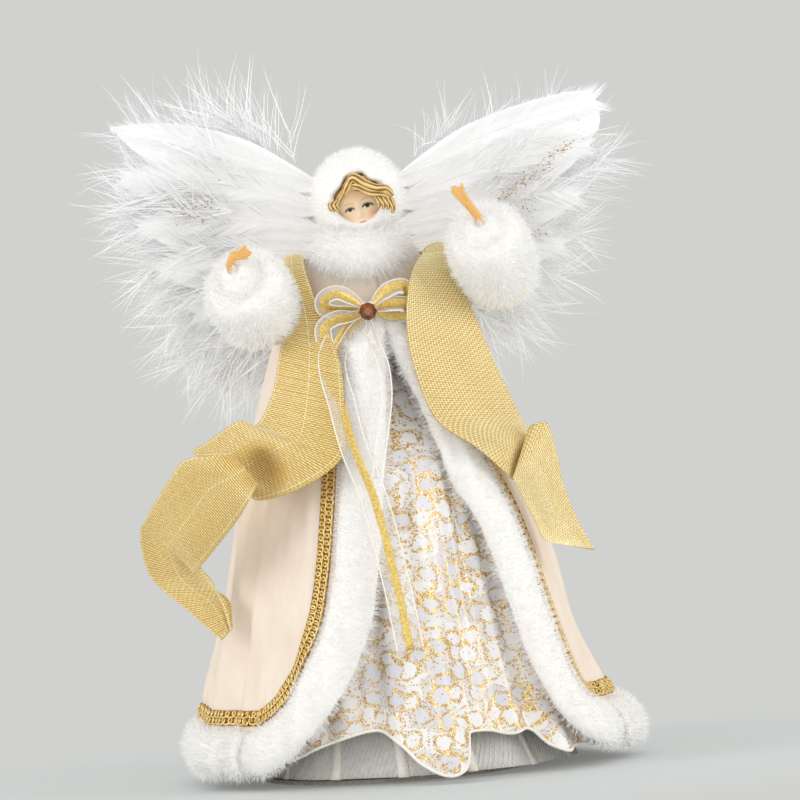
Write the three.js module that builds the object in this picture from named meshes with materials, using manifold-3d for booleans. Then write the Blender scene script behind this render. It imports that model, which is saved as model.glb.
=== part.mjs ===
// A fairy tree topper: a doll on an open card cone, in a fur-trimmed robe over a printed gown, with a gold
// ribbon stole, an organza bow and feather wings. Millimetres, +Z up. The figure faces -Y, and +X is on the
// viewer's right.
import * as THREE from 'three';
import { mergeVertices } from 'three/addons/utils/BufferGeometryUtils.js';
import Module from 'manifold-3d';

// Clearances between neighbours
const seatGap = 0.4;
const swingGap = 0.6;

// Card cone, open below for the tree's leader
const coneBaseRadius = 52;
const coneTopRadius = 14;
const coneHeight = 150;
const coneWall = 1.2;
const baseRimWidth = 5;
const baseRimHeight = 1.6;
const coneSides = 28;

// Robe: half-widths at named heights, with the chest and the shoulders measured down from the neck
const hemHeight = 8;
const hemRadius = 90;
const kneeHeight = 56;
const kneeRadius = 77;
const hipHeight = 116;
const hipRadius = 62;
const waistHeight = 180;
const waistRadius = 42;
const neckHeight = 222;
const neckRadius = 20;
const shoulderDrop = 7;
const shoulderRadius = 29;
const chestDrop = 17;
const chestRadius = 32;
const shoulderHeight = neckHeight - shoulderDrop;
const chestHeight = neckHeight - chestDrop;
const robeWall = 1.2;
const robeFoldCount = 9;
const robeFoldDepth = 2.6;
const robeTurn = 12;
const hemSway = 8;
const openingDrop = 21;
const openingTop = chestHeight - openingDrop;

// Fur and braid sewn along the robe's edge
const furWidth = 19;
const furThickness = 6;
const braidWidth = 6;
const braidThickness = 1.4;
const trimLift = 1.4;

// Printed gown and stiff net petticoat under the robe
const gownTop = 174;
const gownWall = 1;
const gownClearance = 2.4;
const gownFluteCount = 9;
const gownFluteDepth = 6;
const gownFluteTurn = 3;
const gownHemLow = 2.5;
const gownHemRise = 18;
const petticoatTop = 120;
const petticoatRadius = 68;
const petticoatWall = 0.8;
const petticoatLift = 3;
const petticoatFluteCount = 9;
const petticoatFluteDepth = 1.4;

// Bust inside the robe
const plugLength = 12;
const bustWaistRadius = 17;
const bustWaistHeight = 165;
const bustRibRadius = 24;
const bustRibDrop = 11;
const bustDepth = 0.72;

// Head, neck peg, hood and collar
const headAxisY = -2;
const headRise = 20;
const headCentreHeight = neckHeight + headRise;
const headTilt = 12;
const headWidth = 23.4;
const headHeight = 29;
const neckMouldRadius = 6.2;
const neckPegRadius = 3.6;
const neckPegLength = 25;
const neckSocketDepth = 13;
const hairThickness = 2;
const hairWave = 0.25;
const hairWaveCount = 9;
const nose = { rise: -2.6, height: 3.4, spread: 0.3, length: 2 };
const hoodRadius = 20;
const hoodThickness = 7;
const hoodRise = 4;
const hoodHeight = headCentreHeight + hoodRise;
const faceOpening = 40;
const neckOpening = 168;
const collarHalfWidth = 24;
const collarHalfDepth = 24;
const collarHalfHeight = 15.5;
const collarDrop = 1;
const collarHeight = neckHeight - collarDrop;
const collarForward = 6;

// Arms: points of each are x, y and the rise from the shoulder joint
const armDrop = 14;
const armHeight = neckHeight - armDrop;
const sleeveHeadRadius = 10.6;
const sleeveRadius = 8.4;
const armSwing = 40;
const armWireRadius = 1;
const handWristRadius = 2.1;
const cuffRun = 12;
const wireStart = 2;
const wireSteps = 14;
const leftArm = {
  name: 'left',
  shoulder: [-27, -1, 0],
  cuffCentre: [-48.6, -38, 1.3],
  mouth: [-0.3, -0.72, 0.62],
  cuffRadius: 19,
  cuffLength: 26,
  handRoute: [[-55.8, -49, 15], [-54, -49.6, 19.2], [-46.5, -49.6, 19.7]],
  thumbTip: [-48.6, -49.6, 23],
};
const rightArm = {
  name: 'right',
  shoulder: [27, -1, 0],
  cuffCentre: [54.5, -34, 13],
  mouth: [-0.2, -0.72, 0.66],
  cuffRadius: 18,
  cuffLength: 33,
  handRoute: [[51, -45, 26.5], [46, -46, 34.5], [40.3, -46, 42]],
  thumbTip: [44.2, -46, 43],
};

// Gold ribbon stole: its two edges, station by station from the shoulder to the free end, as x, y and the
// rise from the neck
const stoleWall = 0.7;
const stoleLift = 2;
const leftStole = {
  outer: [
    [-34, -2, 1], [-34, -24, -7], [-31, -28, -22], [-38, -30, -36], [-46, -36, -55], [-55, -50, -65],
    [-66, -58, -70], [-79, -56, -77], [-90, -44, -88], [-97, -33, -103], [-102, -28, -115], [-97, -34, -131],
    [-84, -44, -145], [-71, -50, -157],
  ],
  inner: [
    [-25, -4, 3], [-24, -26, -7], [-20, -29, -21], [-17, -40, -40], [-13, -50, -59], [-12, -56, -70],
    [-18, -70, -78], [-34, -70, -92], [-50, -62, -97], [-63, -52, -110], [-76, -42, -123], [-73, -38, -131],
    [-67, -40, -138], [-65, -46, -151],
  ],
};
const rightStole = {
  outer: [
    [34, -2, 2], [39, -18, -10], [45, -21, -27], [54, -22, -48], [62, -23, -69], [68, -22, -77],
    [76, -20, -82], [79, -22, -95], [80, -24, -103], [82, -26, -115], [90, -28, -132],
  ],
  inner: [
    [26, -4, 3], [20, -36, -15], [18, -40, -34], [21, -47, -52], [26, -52, -68], [35, -54, -78],
    [50, -50, -94], [57, -46, -99], [60, -42, -105], [66, -38, -119], [76, -34, -129],
  ],
};

// Bow: knot, bead, loops and tails
const bowDrop = 23;
const bowHeight = neckHeight - bowDrop;
const bowX = 1;
const knotHalfSize = 3;
const beadRadius = 3.9;
const bowRibbonWall = 0.5;
const loops = {
  left_upper: { side: -1, reach: 19, rise: 5, width: 9, depth: 4 },
  left_lower: { side: -1, reach: 12, rise: -4, width: 7, depth: 3 },
  right_upper: { side: 1, reach: 13, rise: 5, width: 8, depth: 4 },
  right_lower: { side: 1, reach: 11, rise: -4, width: 7, depth: 3 },
};
const tailWidth = 4;
// Each tail's line as x and the drop from the bow
const tails = {
  left: { lift: 14, stations: [[-1, 4.5], [-15, 21], [-11, 50], [-2, 77], [5, 113], [8, 143]] },
  right: { lift: 16, stations: [[3.5, 4.5], [7, 19], [12, 33], [10, 57], [8, 77], [11, 95]] },
};

// Wings: the hinge, the card backing, the wire, five flat feathers and three pads of marabou on each side
const hingeX = 9;
const hingeY = 36;
const hingeRadius = 2;
const hingeHighDrop = 8;
const hingeLength = 24;
const hingeHigh = neckHeight - hingeHighDrop;
const hingeLow = hingeHigh - hingeLength;
const bridgeHalfAngle = 14;
const backingWall = 1;
const wingWireRadius = 0.8;
const wingRootX = 14;
const wingRise = 4;
const wingHeight = neckHeight + wingRise;
const featherWall = 0.5;
const featherWidth = 25;
const featherBend = 4;
const topFeatherRise = 22;
const featherSpacing = 9;
const featherShape = [[0, 0.12], [0.15, 0.45], [0.45, 0.95], [0.7, 1], [0.9, 0.62], [1, 0.1]];
// Each feather's tip as x and the rise from the wing's root
const featherTips = [[103, 54], [103, 33], [99, 12], [91, -10], [78, -29]];
const marabouThickness = 7;
const marabouInner = 46;
const marabouLobes = 1.2;
const marabouReach = [
  [-64, 82], [-37, 92], [-16, 94], [8, 100], [32, 112], [45, 100], [55, 84], [68, 64], [80, 46],
];

const colours = {
  card: 0xc9c2b4, net: 0xf2f1ec, foam: 0xefe9dd, skin: 0xe9c39c, hair: 0xc08a3e, fur: 0xfaf7f1,
  velvet: 0xefe4d2, braid: 0xc79a3f, satin: 0xf3efe6, wire: 0x9a958c, ribbon: 0xd2ae55, organza: 0xe9dfc2,
  bead: 0x7c3f14, feather: 0xfbfbfa,
};

const wasm = await Module();
wasm.setup();
const fairy = new THREE.Group();

const radians = THREE.MathUtils.degToRad;
const lerp = THREE.MathUtils.lerp;
const point = (xyz) => new THREE.Vector3(...xyz);
const armPoint = ([x, y, rise]) => new THREE.Vector3(x, y, armHeight + rise);
const smoothRoute = (stations) => new THREE.CatmullRomCurve3(stations.map(point), false, 'centripetal');

// Even steps from one value to another, both ends included
function steps(count, from = 0, to = 1) {
  return Array.from({ length: count + 1 }, (_, i) => lerp(from, to, i / count));
}

// Even angles all the way round, without the last that would fall on the first
const ringAngles = (count) => steps(count - 1, 0, 360 - 360 / count);

// A hand-chosen profile [[at, value], ...], eased so that it never overshoots its points
function profile(stations, at) {
  const last = stations.length - 1;
  if (at <= stations[0][0]) return stations[0][1];
  if (at >= stations[last][0]) return stations[last][1];
  const slope = (i) => (stations[i + 1][1] - stations[i][1]) / (stations[i + 1][0] - stations[i][0]);
  const tangent = (i) => {
    if (i === 0) return slope(0);
    if (i === last) return slope(last - 1);
    const before = slope(i - 1);
    const after = slope(i);
    return before * after <= 0 ? 0 : (2 * before * after) / (before + after);
  };
  const k = stations.findIndex((station, i) => i < last && at < stations[i + 1][0]);
  const span = stations[k + 1][0] - stations[k][0];
  const t = (at - stations[k][0]) / span;
  const drift = span * (t * (1 - t) ** 2 * tangent(k) - t * t * (1 - t) * tangent(k + 1));
  return lerp(stations[k][1], stations[k + 1][1], t * t * (3 - 2 * t)) + drift;
}

// A closed body from points and triangles, with its faces turned outwards
function body(points, triangles) {
  const normal = new THREE.Vector3();
  let volume = 0;
  for (const [a, b, c] of triangles) {
    volume += points[a].dot(normal.crossVectors(points[b], points[c]));
  }
  const facing = volume < 0 ? triangles.map(([a, b, c]) => [a, c, b]) : triangles;
  const geometry = new THREE.BufferGeometry().setFromPoints(points);
  geometry.setIndex(facing.flat());
  return geometry;
}

// A wall between two matching grids: at(u, v, 0) is its inner face and at(u, v, 1) its outer face
function wall(us, vs, at, closed = false) {
  const points = [0, 1].flatMap((side) => vs.flatMap((v) => us.map((u) => at(u, v, side))));
  const id = (side, j, i) => (side * vs.length + j) * us.length + (i % us.length);
  const across = closed ? us.length : us.length - 1;
  const top = vs.length - 1;
  const quads = [];
  for (let i = 0; i < across; i++) {
    for (let j = 0; j < top; j++) {
      quads.push([id(1, j, i), id(1, j, i + 1), id(1, j + 1, i + 1), id(1, j + 1, i)]);
      quads.push([id(0, j, i), id(0, j + 1, i), id(0, j + 1, i + 1), id(0, j, i + 1)]);
    }
    quads.push([id(1, 0, i + 1), id(1, 0, i), id(0, 0, i), id(0, 0, i + 1)]);
    quads.push([id(1, top, i), id(1, top, i + 1), id(0, top, i + 1), id(0, top, i)]);
  }
  for (let j = 0; j < top && !closed; j++) {
    quads.push([id(1, j, 0), id(1, j + 1, 0), id(0, j + 1, 0), id(0, j, 0)]);
    quads.push([id(1, j + 1, across), id(1, j, across), id(0, j, across), id(0, j + 1, across)]);
  }
  return body(points, quads.flatMap(([a, b, c, d]) => [[a, b, c], [a, c, d]]));
}

// A solid through a run of convex rings with equal counts of points
function loft(rings) {
  const count = rings[0].length;
  const triangles = [];
  for (let r = 0; r < rings.length - 1; r++) {
    for (let i = 0; i < count; i++) {
      const [a, b] = [r * count + i, r * count + ((i + 1) % count)];
      triangles.push([a, b, b + count], [a, b + count, a + count]);
    }
  }
  const far = (rings.length - 1) * count;
  for (let i = 1; i < count - 1; i++) {
    triangles.push([0, i + 1, i], [far, far + i, far + i + 1]);
  }
  return body(rings.flat(), triangles);
}

// An oval ring about a centre, spanned by two directions
function oval(centre, across, up, halfWidth, halfHeight, sides) {
  return Array.from({ length: sides }, (_, i) => {
    const angle = (2 * Math.PI * i) / sides;
    return centre.clone()
      .addScaledVector(across, halfWidth * Math.cos(angle))
      .addScaledVector(up, halfHeight * Math.sin(angle));
  });
}

// A solid along a curve whose oval section is sizeAt(t) = [half-width, half-height]
function limb(curve, count, sides, sizeAt, reference = new THREE.Vector3(0, 0, 1)) {
  return loft(steps(count).map((t) => {
    const along = curve.getTangentAt(t);
    const across = reference.clone().cross(along).normalize();
    const up = along.clone().cross(across);
    return oval(curve.getPointAt(t), across, up, ...sizeAt(t), sides);
  }));
}

function toSolid(geometry) {
  const plain = geometry.clone();
  plain.deleteAttribute('normal');
  plain.deleteAttribute('uv');
  const merged = mergeVertices(plain);
  return new wasm.Manifold(new wasm.Mesh({
    numProp: 3,
    vertProperties: merged.attributes.position.array,
    triVerts: new Uint32Array(merged.index.array),
  }));
}

function toGeometry(solid) {
  const mesh = solid.getMesh();
  const geometry = new THREE.BufferGeometry();
  geometry.setAttribute('position', new THREE.BufferAttribute(mesh.vertProperties, 3));
  geometry.setIndex(new THREE.BufferAttribute(mesh.triVerts, 1));
  return geometry;
}

// One geometry with others taken away from it
function cut(geometry, ...tools) {
  return toGeometry(tools.reduce((left, tool) => left.subtract(toSolid(tool)), toSolid(geometry)));
}

function fuse(...geometries) {
  return toGeometry(geometries.map(toSolid).reduce((sum, next) => sum.add(next)));
}

function ball(centre, radius, sides = 20) {
  return new THREE.SphereGeometry(radius, sides, Math.round(sides * 0.6)).translate(...centre);
}

// An upright round bar between two heights
function upright(x, y, low, high, radius, sides = 20) {
  return new THREE.CylinderGeometry(radius, radius, high - low, sides)
    .rotateX(Math.PI / 2)
    .translate(x, y, (low + high) / 2);
}

function add(name, geometry, colour, roughness = 0.9, metalness = 0) {
  const material = new THREE.MeshStandardMaterial({ color: colours[colour], roughness, metalness });
  const mesh = new THREE.Mesh(geometry, material);
  mesh.name = name;
  fairy.add(mesh);
}

// The body's skin: the robe's outer face, which everything worn follows
const robeStations = [
  [hemHeight, hemRadius], [kneeHeight, kneeRadius], [hipHeight, hipRadius], [waistHeight, waistRadius],
  [chestHeight, chestRadius], [shoulderHeight, shoulderRadius], [neckHeight, neckRadius],
];
// How deep the body is in front and behind, as a share of its half-width
const frontDepth = [[hipHeight, 1], [waistHeight, 0.86], [chestHeight, 0.8], [neckHeight, 0.85]];
const backDepth = [
  [kneeHeight, 1], [hipHeight, 0.92], [waistHeight, 0.62], [chestHeight, 0.6], [neckHeight, 0.8],
];
const robeRadius = (z) => profile(robeStations, z);
const belowWaist = (z) => THREE.MathUtils.clamp((waistHeight - z) / (waistHeight - hemHeight), 0, 1);
const sway = (z) => hemSway * belowWaist(z) ** 1.5;

function robeFold(angle, z) {
  return robeFoldDepth * belowWaist(z) ** 1.2 * Math.cos(radians(robeFoldCount * angle));
}

// A point at an angle from the middle of the front opening, lifted off the body's skin
function skinPoint(angle, z, lift) {
  const world = radians(angle + robeTurn);
  const girth = robeRadius(z) + robeFold(angle, z);
  const depth = profile(Math.cos(world) > 0 ? frontDepth : backDepth, z);
  const y = -(girth * depth + lift) * Math.cos(world);
  return new THREE.Vector3(sway(z) + (girth + lift) * Math.sin(world), y, z);
}

// How far forward the body's skin reaches at a place seen from the front
function skinFront(x, z) {
  const reach = robeRadius(z) + robeFoldDepth * belowWaist(z);
  const share = Math.min(1, Math.abs(x - sway(z)) / reach);
  return -reach * profile(frontDepth, z) * Math.sqrt(1 - share * share);
}

// The robe's cut edge on each front: from the meeting of the fronts down to the hem, as shares of that height
// by angle. The viewer's right front swings further open.
const openingEdge = {
  left: [
    [3, 1], [6.5, 0.88], [9.8, 0.76], [13.1, 0.638], [18.2, 0.437], [22.4, 0.319], [28.3, 0.252],
    [35.5, 0.162], [45.3, 0.065], [55, 0.018], [62, 0], [66, 0],
  ],
  right: [
    [3, 1], [8, 0.93], [14, 0.84], [20.8, 0.67], [27, 0.568], [30, 0.46], [31, 0.36], [32, 0.25], [34, 0.16],
    [38, 0.085], [45, 0.035], [54, 0.008], [61, 0], [66, 0],
  ],
};
const sideOf = (angle) => (angle < 0 ? 'left' : 'right');
const openingShare = (angle) => profile(openingEdge[sideOf(angle)], Math.abs(angle));
const edgeHeight = (angle) => lerp(hemHeight, openingTop, openingShare(angle));
const hemJoin = openingEdge.left.at(-1)[0];
const edgeAngles = (side) => openingEdge[side].slice(0, -1).map(([angle]) => angle);

// A point on a strip sewn along the robe's edge, at a distance in from that edge
function trimPoint(angle, inward, lift) {
  const side = Math.sign(angle);
  const reach = Math.abs(angle);
  const z = edgeHeight(angle);
  const step = 0.5;
  const run = radians(2 * step) * robeRadius(z);
  const drop = edgeHeight(side * (reach - step)) - edgeHeight(side * (reach + step));
  const length = Math.hypot(run, drop);
  const moved = reach + THREE.MathUtils.radToDeg((inward * drop) / length / robeRadius(z));
  return skinPoint(side * moved, z + (inward * run) / length, lift);
}

const coneRadius = (z) => lerp(coneBaseRadius, coneTopRadius, z / coneHeight);

// The cone's wall from its foot to its top, with the rim turned out at the foot
function supportCone() {
  const rimTop = baseRimHeight + 0.01;
  const outside = [
    [0, baseRimWidth], [baseRimHeight, baseRimWidth], [rimTop, 0], [coneHeight / 2, 0], [coneHeight, 0],
  ];
  const inside = [0, baseRimHeight + 1, baseRimHeight + 3, coneHeight / 2, coneHeight];
  const rows = outside.map(([z, rim], i) => [[inside[i], -coneWall], [z, rim]]);
  const geometry = wall(ringAngles(coneSides), rows, (angle, row, side) => {
    const [z, out] = row[side];
    const radius = coneRadius(z) + out;
    return new THREE.Vector3(radius * Math.sin(radians(angle)), -radius * Math.cos(radians(angle)), z);
  }, true);
  add('support_cone', geometry, 'card');
}

function petticoat() {
  const geometry = wall(ringAngles(36), steps(3), (angle, v, side) => {
    const z = lerp(petticoatLift, petticoatTop, v);
    const flare = lerp(petticoatRadius, coneRadius(petticoatTop) + seatGap, v ** 0.9);
    const flute = petticoatFluteDepth * (1 - v) * Math.cos(radians(petticoatFluteCount * angle));
    const radius = flare + flute + side * petticoatWall;
    const world = radians(angle);
    return new THREE.Vector3(sway(z) * (1 - v) + radius * Math.sin(world), -radius * Math.cos(world), z);
  }, true);
  add('petticoat', geometry, 'net');
}

// The bust: a plug in the cone, a waist, and shoulders that carry the robe
const bustTop = neckHeight - seatGap;
const plugRadius = (z) => coneRadius(z) - coneWall - seatGap;
const bustRibHeight = chestHeight - bustRibDrop;
const bustWaist = (z) => profile([
  [coneHeight, coneTopRadius + 1], [bustWaistHeight, bustWaistRadius], [bustRibHeight, bustRibRadius],
], z);

// The line of an arm from the shoulder, dipping at the elbow, to a little past the middle of the cuff
function armRoute(arm) {
  const centre = armPoint(arm.cuffCentre);
  const mouth = point(arm.mouth).normalize();
  const half = arm.cuffLength / 2;
  const inCuff = [0.75 * -cuffRun - half, -half, -half / 3, 1]
    .map((along) => centre.clone().addScaledVector(mouth, along));
  return new THREE.CatmullRomCurve3([armPoint(arm.shoulder), ...inCuff], false, 'centripetal');
}

// Half-thickness of a sleeve along its line, slim where it leaves the shoulder and inside the cuff
function sleeveGirth(arm, t) {
  const entersCuff = 1 - (arm.cuffLength / 2 + cuffRun) / armRoute(arm).getLength();
  const stations = [[0, sleeveRadius - 2], [entersCuff * 0.6, sleeveRadius + 1], [entersCuff, sleeveRadius]];
  return profile(stations, t);
}

// Room in the robe and the bust for each sleeve, from its rest to the end of its swing
function armholes() {
  return [leftArm, rightArm].flatMap((arm) => {
    const [x, y] = arm.shoulder;
    const room = (t) => Array(2).fill(sleeveGirth(arm, t) + 3.5 * swingGap);
    const swung = steps(2, 0, armSwing).map((turn) => limb(armRoute(arm), 4, 7, room)
      .translate(-x, -y, 0).rotateZ(radians(Math.sign(x) * turn)).translate(x, y, 0));
    return [ball(armPoint(arm.shoulder), sleeveHeadRadius + swingGap, 12), ...swung];
  });
}

function bust() {
  const angles = ringAngles(24);
  const ring = (z, radius, depth) => angles.map((angle) => {
    const world = radians(angle);
    return new THREE.Vector3(radius * Math.sin(world), -radius * depth * Math.cos(world), z);
  });
  const plugFoot = coneHeight - plugLength;
  const shoulders = [chestHeight + 3, shoulderHeight, bustTop];
  const rings = [
    ring(plugFoot, plugRadius(plugFoot), 1),
    ring(coneHeight, plugRadius(coneHeight), 1),
    ring(coneHeight + seatGap, bustWaist(coneHeight + seatGap), 1),
    ...steps(3, bustWaistHeight, bustRibHeight).map((z) => ring(z, bustWaist(z), bustDepth)),
    ...shoulders.map((z) => angles.map((angle) => skinPoint(angle - robeTurn, z, -robeWall - 2 * seatGap))),
  ];
  const socket = upright(0, headAxisY, bustTop - neckSocketDepth, bustTop + 1, neckPegRadius + seatGap);
  add('bust', cut(loft(rings), socket, ...armholes()), 'foam');
}

// Columns of the robe: close together along the curved fronts, even round the back
const robeAngles = [
  ...edgeAngles('right'),
  ...steps(25, hemJoin, 360 - hemJoin),
  ...edgeAngles('left').map((angle) => 360 - angle).reverse(),
];
const signed = (angle) => (angle > 180 ? angle - 360 : angle);

// Rows of the robe, shared with what is cut to rest on it
const bodyHeights = [
  hemHeight, lerp(hemHeight, kneeHeight, 0.5), kneeHeight, hipHeight, lerp(hipHeight, waistHeight, 0.5),
  waistHeight, lerp(waistHeight, chestHeight, 0.5), chestHeight, shoulderHeight, neckHeight,
];

// The robe's rows are level from the chest up, and spread from the chest down to its cut edge
function robe() {
  const share = (level) => (level - hemHeight) / (chestHeight - hemHeight);
  const geometry = wall(robeAngles, bodyHeights, (angle, level, side) => {
    const spread = lerp(edgeHeight(signed(angle)), chestHeight, share(level));
    return skinPoint(angle, Math.max(level, spread), side ? 0 : -robeWall);
  });
  add('robe', cut(geometry, ...armholes()), 'velvet');
}

// A strip of fur, full in the middle and thin at both long edges
function furStrip(name, angles) {
  const geometry = wall(angles, [0, 0.25, 0.75, 1], (angle, v, side) => {
    const pile = furThickness * (0.25 + 0.75 * Math.sin(Math.PI * v));
    return trimPoint(signed(angle), v * furWidth, trimLift + side * pile);
  });
  add(name, geometry, 'fur', 1);
}

// A narrow braid beside the fur
function braidStrip(name, angles) {
  const geometry = wall(angles, [0, 1], (angle, v, side) => {
    const inward = furWidth + seatGap * 2 + v * braidWidth;
    return trimPoint(signed(angle), inward, trimLift + side * braidThickness);
  });
  add(name, geometry, 'braid', 0.45, 0.7);
}

function trims() {
  const join = 0.3;
  const right = [...edgeAngles('right'), hemJoin - join];
  const left = [...edgeAngles('left'), hemJoin - join].map((angle) => -angle);
  const hem = steps(30, hemJoin + join, 360 - hemJoin - join);
  for (const [place, angles] of Object.entries({ edge_right: right, edge_left: left, hem })) {
    furStrip(`fur_${place}`, angles);
  }
  for (const [place, angles] of Object.entries({ right, left, hem })) {
    braidStrip(`braid_${place}`, angles);
  }
}

function gown() {
  const top = bustWaist(gownTop) + seatGap + gownWall;
  const hang = (z) => top + 0.8 * (gownTop - z);
  const geometry = wall(ringAngles(45), steps(5), (angle, v, side) => {
    const facing = 0.5 + 0.5 * Math.cos(radians(angle));
    const ripple = 0.5 - 0.5 * Math.cos(radians(gownFluteCount * (angle + gownFluteTurn)));
    const low = gownHemLow + gownHemRise * ripple * lerp(0.35, 1, facing);
    const z = lerp(low, gownTop, v);
    const under = robeRadius(z) + robeFold(angle, z) - robeWall - gownClearance;
    const flute = gownFluteDepth * ripple * belowWaist(z) ** 1.5;
    const girth = Math.min(under, hang(z)) - flute - (1 - side) * gownWall;
    const world = radians(angle + robeTurn);
    const gathered = THREE.MathUtils.smoothstep(z, waistHeight - 45, gownTop);
    const depth = lerp(profile(Math.cos(world) > 0 ? frontDepth : backDepth, z), bustDepth, gathered);
    return new THREE.Vector3(sway(z) + girth * Math.sin(world), -girth * depth * Math.cos(world), z);
  }, true);
  add('gown', geometry, 'satin', 0.5);
}

// The head in its own frame: half-width, and how far the face and the back of the head stand from the middle
function headSection(rise) {
  const share = rise / (headHeight / 2);
  const sides = [
    [-1, 0.34], [-0.86, 0.6], [-0.5, 0.88], [0, 1], [0.4, 1], [0.75, 0.8], [0.93, 0.45], [1, 0.12],
  ];
  const face = [[-1, 0.74], [-0.86, 0.9], [-0.5, 0.98], [0, 0.98], [0.4, 0.96], [0.75, 0.78], [1, 0.12]];
  const back = [[-1, 0.3], [-0.5, 0.8], [0, 1.03], [0.4, 1.05], [0.75, 0.84], [1, 0.12]];
  return [sides, face, back].map((stations) => (headWidth / 2) * profile(stations, share));
}

const tiltHead = (geometry) => geometry
  .rotateY(radians(-headTilt))
  .translate(0, headAxisY, headCentreHeight);

// The head with its nose, or the same form grown by an even room all round
function headForm(room, levels, sides) {
  const growth = 1 + room / (headHeight / 2);
  return tiltHead(loft(steps(levels, -headHeight / 2, headHeight / 2).map((rise) => {
    const [half, face, back] = headSection(rise);
    return Array.from({ length: sides }, (_, i) => {
      const angle = (2 * Math.PI * i) / sides;
      const bump = nose.length * Math.exp(-(((rise - nose.rise) / nose.height) ** 2));
      const aside = Math.min(angle, 2 * Math.PI - angle) / nose.spread;
      const reach = (Math.cos(angle) > 0 ? face : back) + bump * Math.exp(-aside * aside) + room;
      return new THREE.Vector3((half + room) * Math.sin(angle), -reach * Math.cos(angle), rise * growth);
    });
  })));
}

function head() {
  const neckFoot = bustTop + seatGap;
  const neck = upright(0, headAxisY, neckFoot, headCentreHeight - headHeight / 4, neckMouldRadius);
  const pegTop = neckFoot - neckSocketDepth + neckPegLength;
  const socket = upright(0, headAxisY, neckFoot - 1, pegTop + seatGap, neckPegRadius + seatGap / 2);
  add('head', cut(fuse(headForm(0, 12, 20), neck), socket), 'skin', 0.5);
  add('neck_peg', upright(0, headAxisY, neckFoot - neckSocketDepth, pegTop, neckPegRadius), 'card');
}

// Moulded waves of hair over the brow, longer on the viewer's right
function hair() {
  const hairline = [[-100, -4], [-62, 2], [-40, 34], [0, 42], [40, 30], [60, -14], [100, -20]];
  const geometry = wall(steps(20, -100, 100), steps(6), (angle, v, side) => {
    const climb = lerp(profile(hairline, angle), 78, v);
    const rise = (headHeight / 2) * Math.sin(radians(climb));
    const [half, face, back] = headSection(rise);
    const depth = Math.cos(radians(angle)) > 0 ? face : back;
    const wave = 1 + hairWave * Math.cos(radians(angle * hairWaveCount + climb * 3));
    const lift = seatGap + side * hairThickness * wave;
    return new THREE.Vector3(
      (half + lift) * Math.sin(radians(angle)),
      -(depth + lift) * Math.cos(radians(angle)),
      rise + lift * Math.sin(radians(climb)),
    );
  });
  add('hair', tiltHead(geometry), 'hair', 0.6);
}

// A fur hood round the head, open for the face and for the neck
function hood() {
  const shell = wall(ringAngles(20), steps(6, faceOpening, neckOpening), (around, polar, side) => {
    const radius = hoodRadius - (1 - side) * hoodThickness;
    const away = radius * Math.sin(radians(polar));
    const turn = radians(around);
    return new THREE.Vector3(
      away * Math.sin(turn), -radius * Math.cos(radians(polar)), away * Math.cos(turn),
    );
  }, true).translate(0, headAxisY, hoodHeight);
  const room = hairThickness * (1 + hairWave) + 2 * seatGap + swingGap;
  add('hood', cut(shell, headForm(room, 8, 14)), 'fur', 1);
}

// The body as a filled block, to cut what rests on it
function bodyBlock(low, lift) {
  const angles = ringAngles(36);
  const ring = (z) => angles.map((angle) => skinPoint(angle, z, lift));
  const top = ring(neckHeight).map((spot) => spot.setZ(neckHeight + lift));
  return loft([...bodyHeights.filter((z) => z >= low).map(ring), top]);
}

function collar() {
  const blob = new THREE.SphereGeometry(1, 22, 12).rotateX(Math.PI / 2)
    .scale(collarHalfWidth, collarHalfDepth, collarHalfHeight)
    .translate(0, headAxisY - collarForward, collarHeight);
  const hoodRoom = ball([0, headAxisY, hoodHeight], hoodRadius + 2 * swingGap, 20);
  const neckRoom = upright(0, headAxisY, collarHeight - collarHalfHeight, hoodHeight, neckMouldRadius + 2);
  add('collar', cut(blob, bodyBlock(waistHeight, seatGap + swingGap), hoodRoom, neckRoom), 'fur', 1);
}

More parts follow.
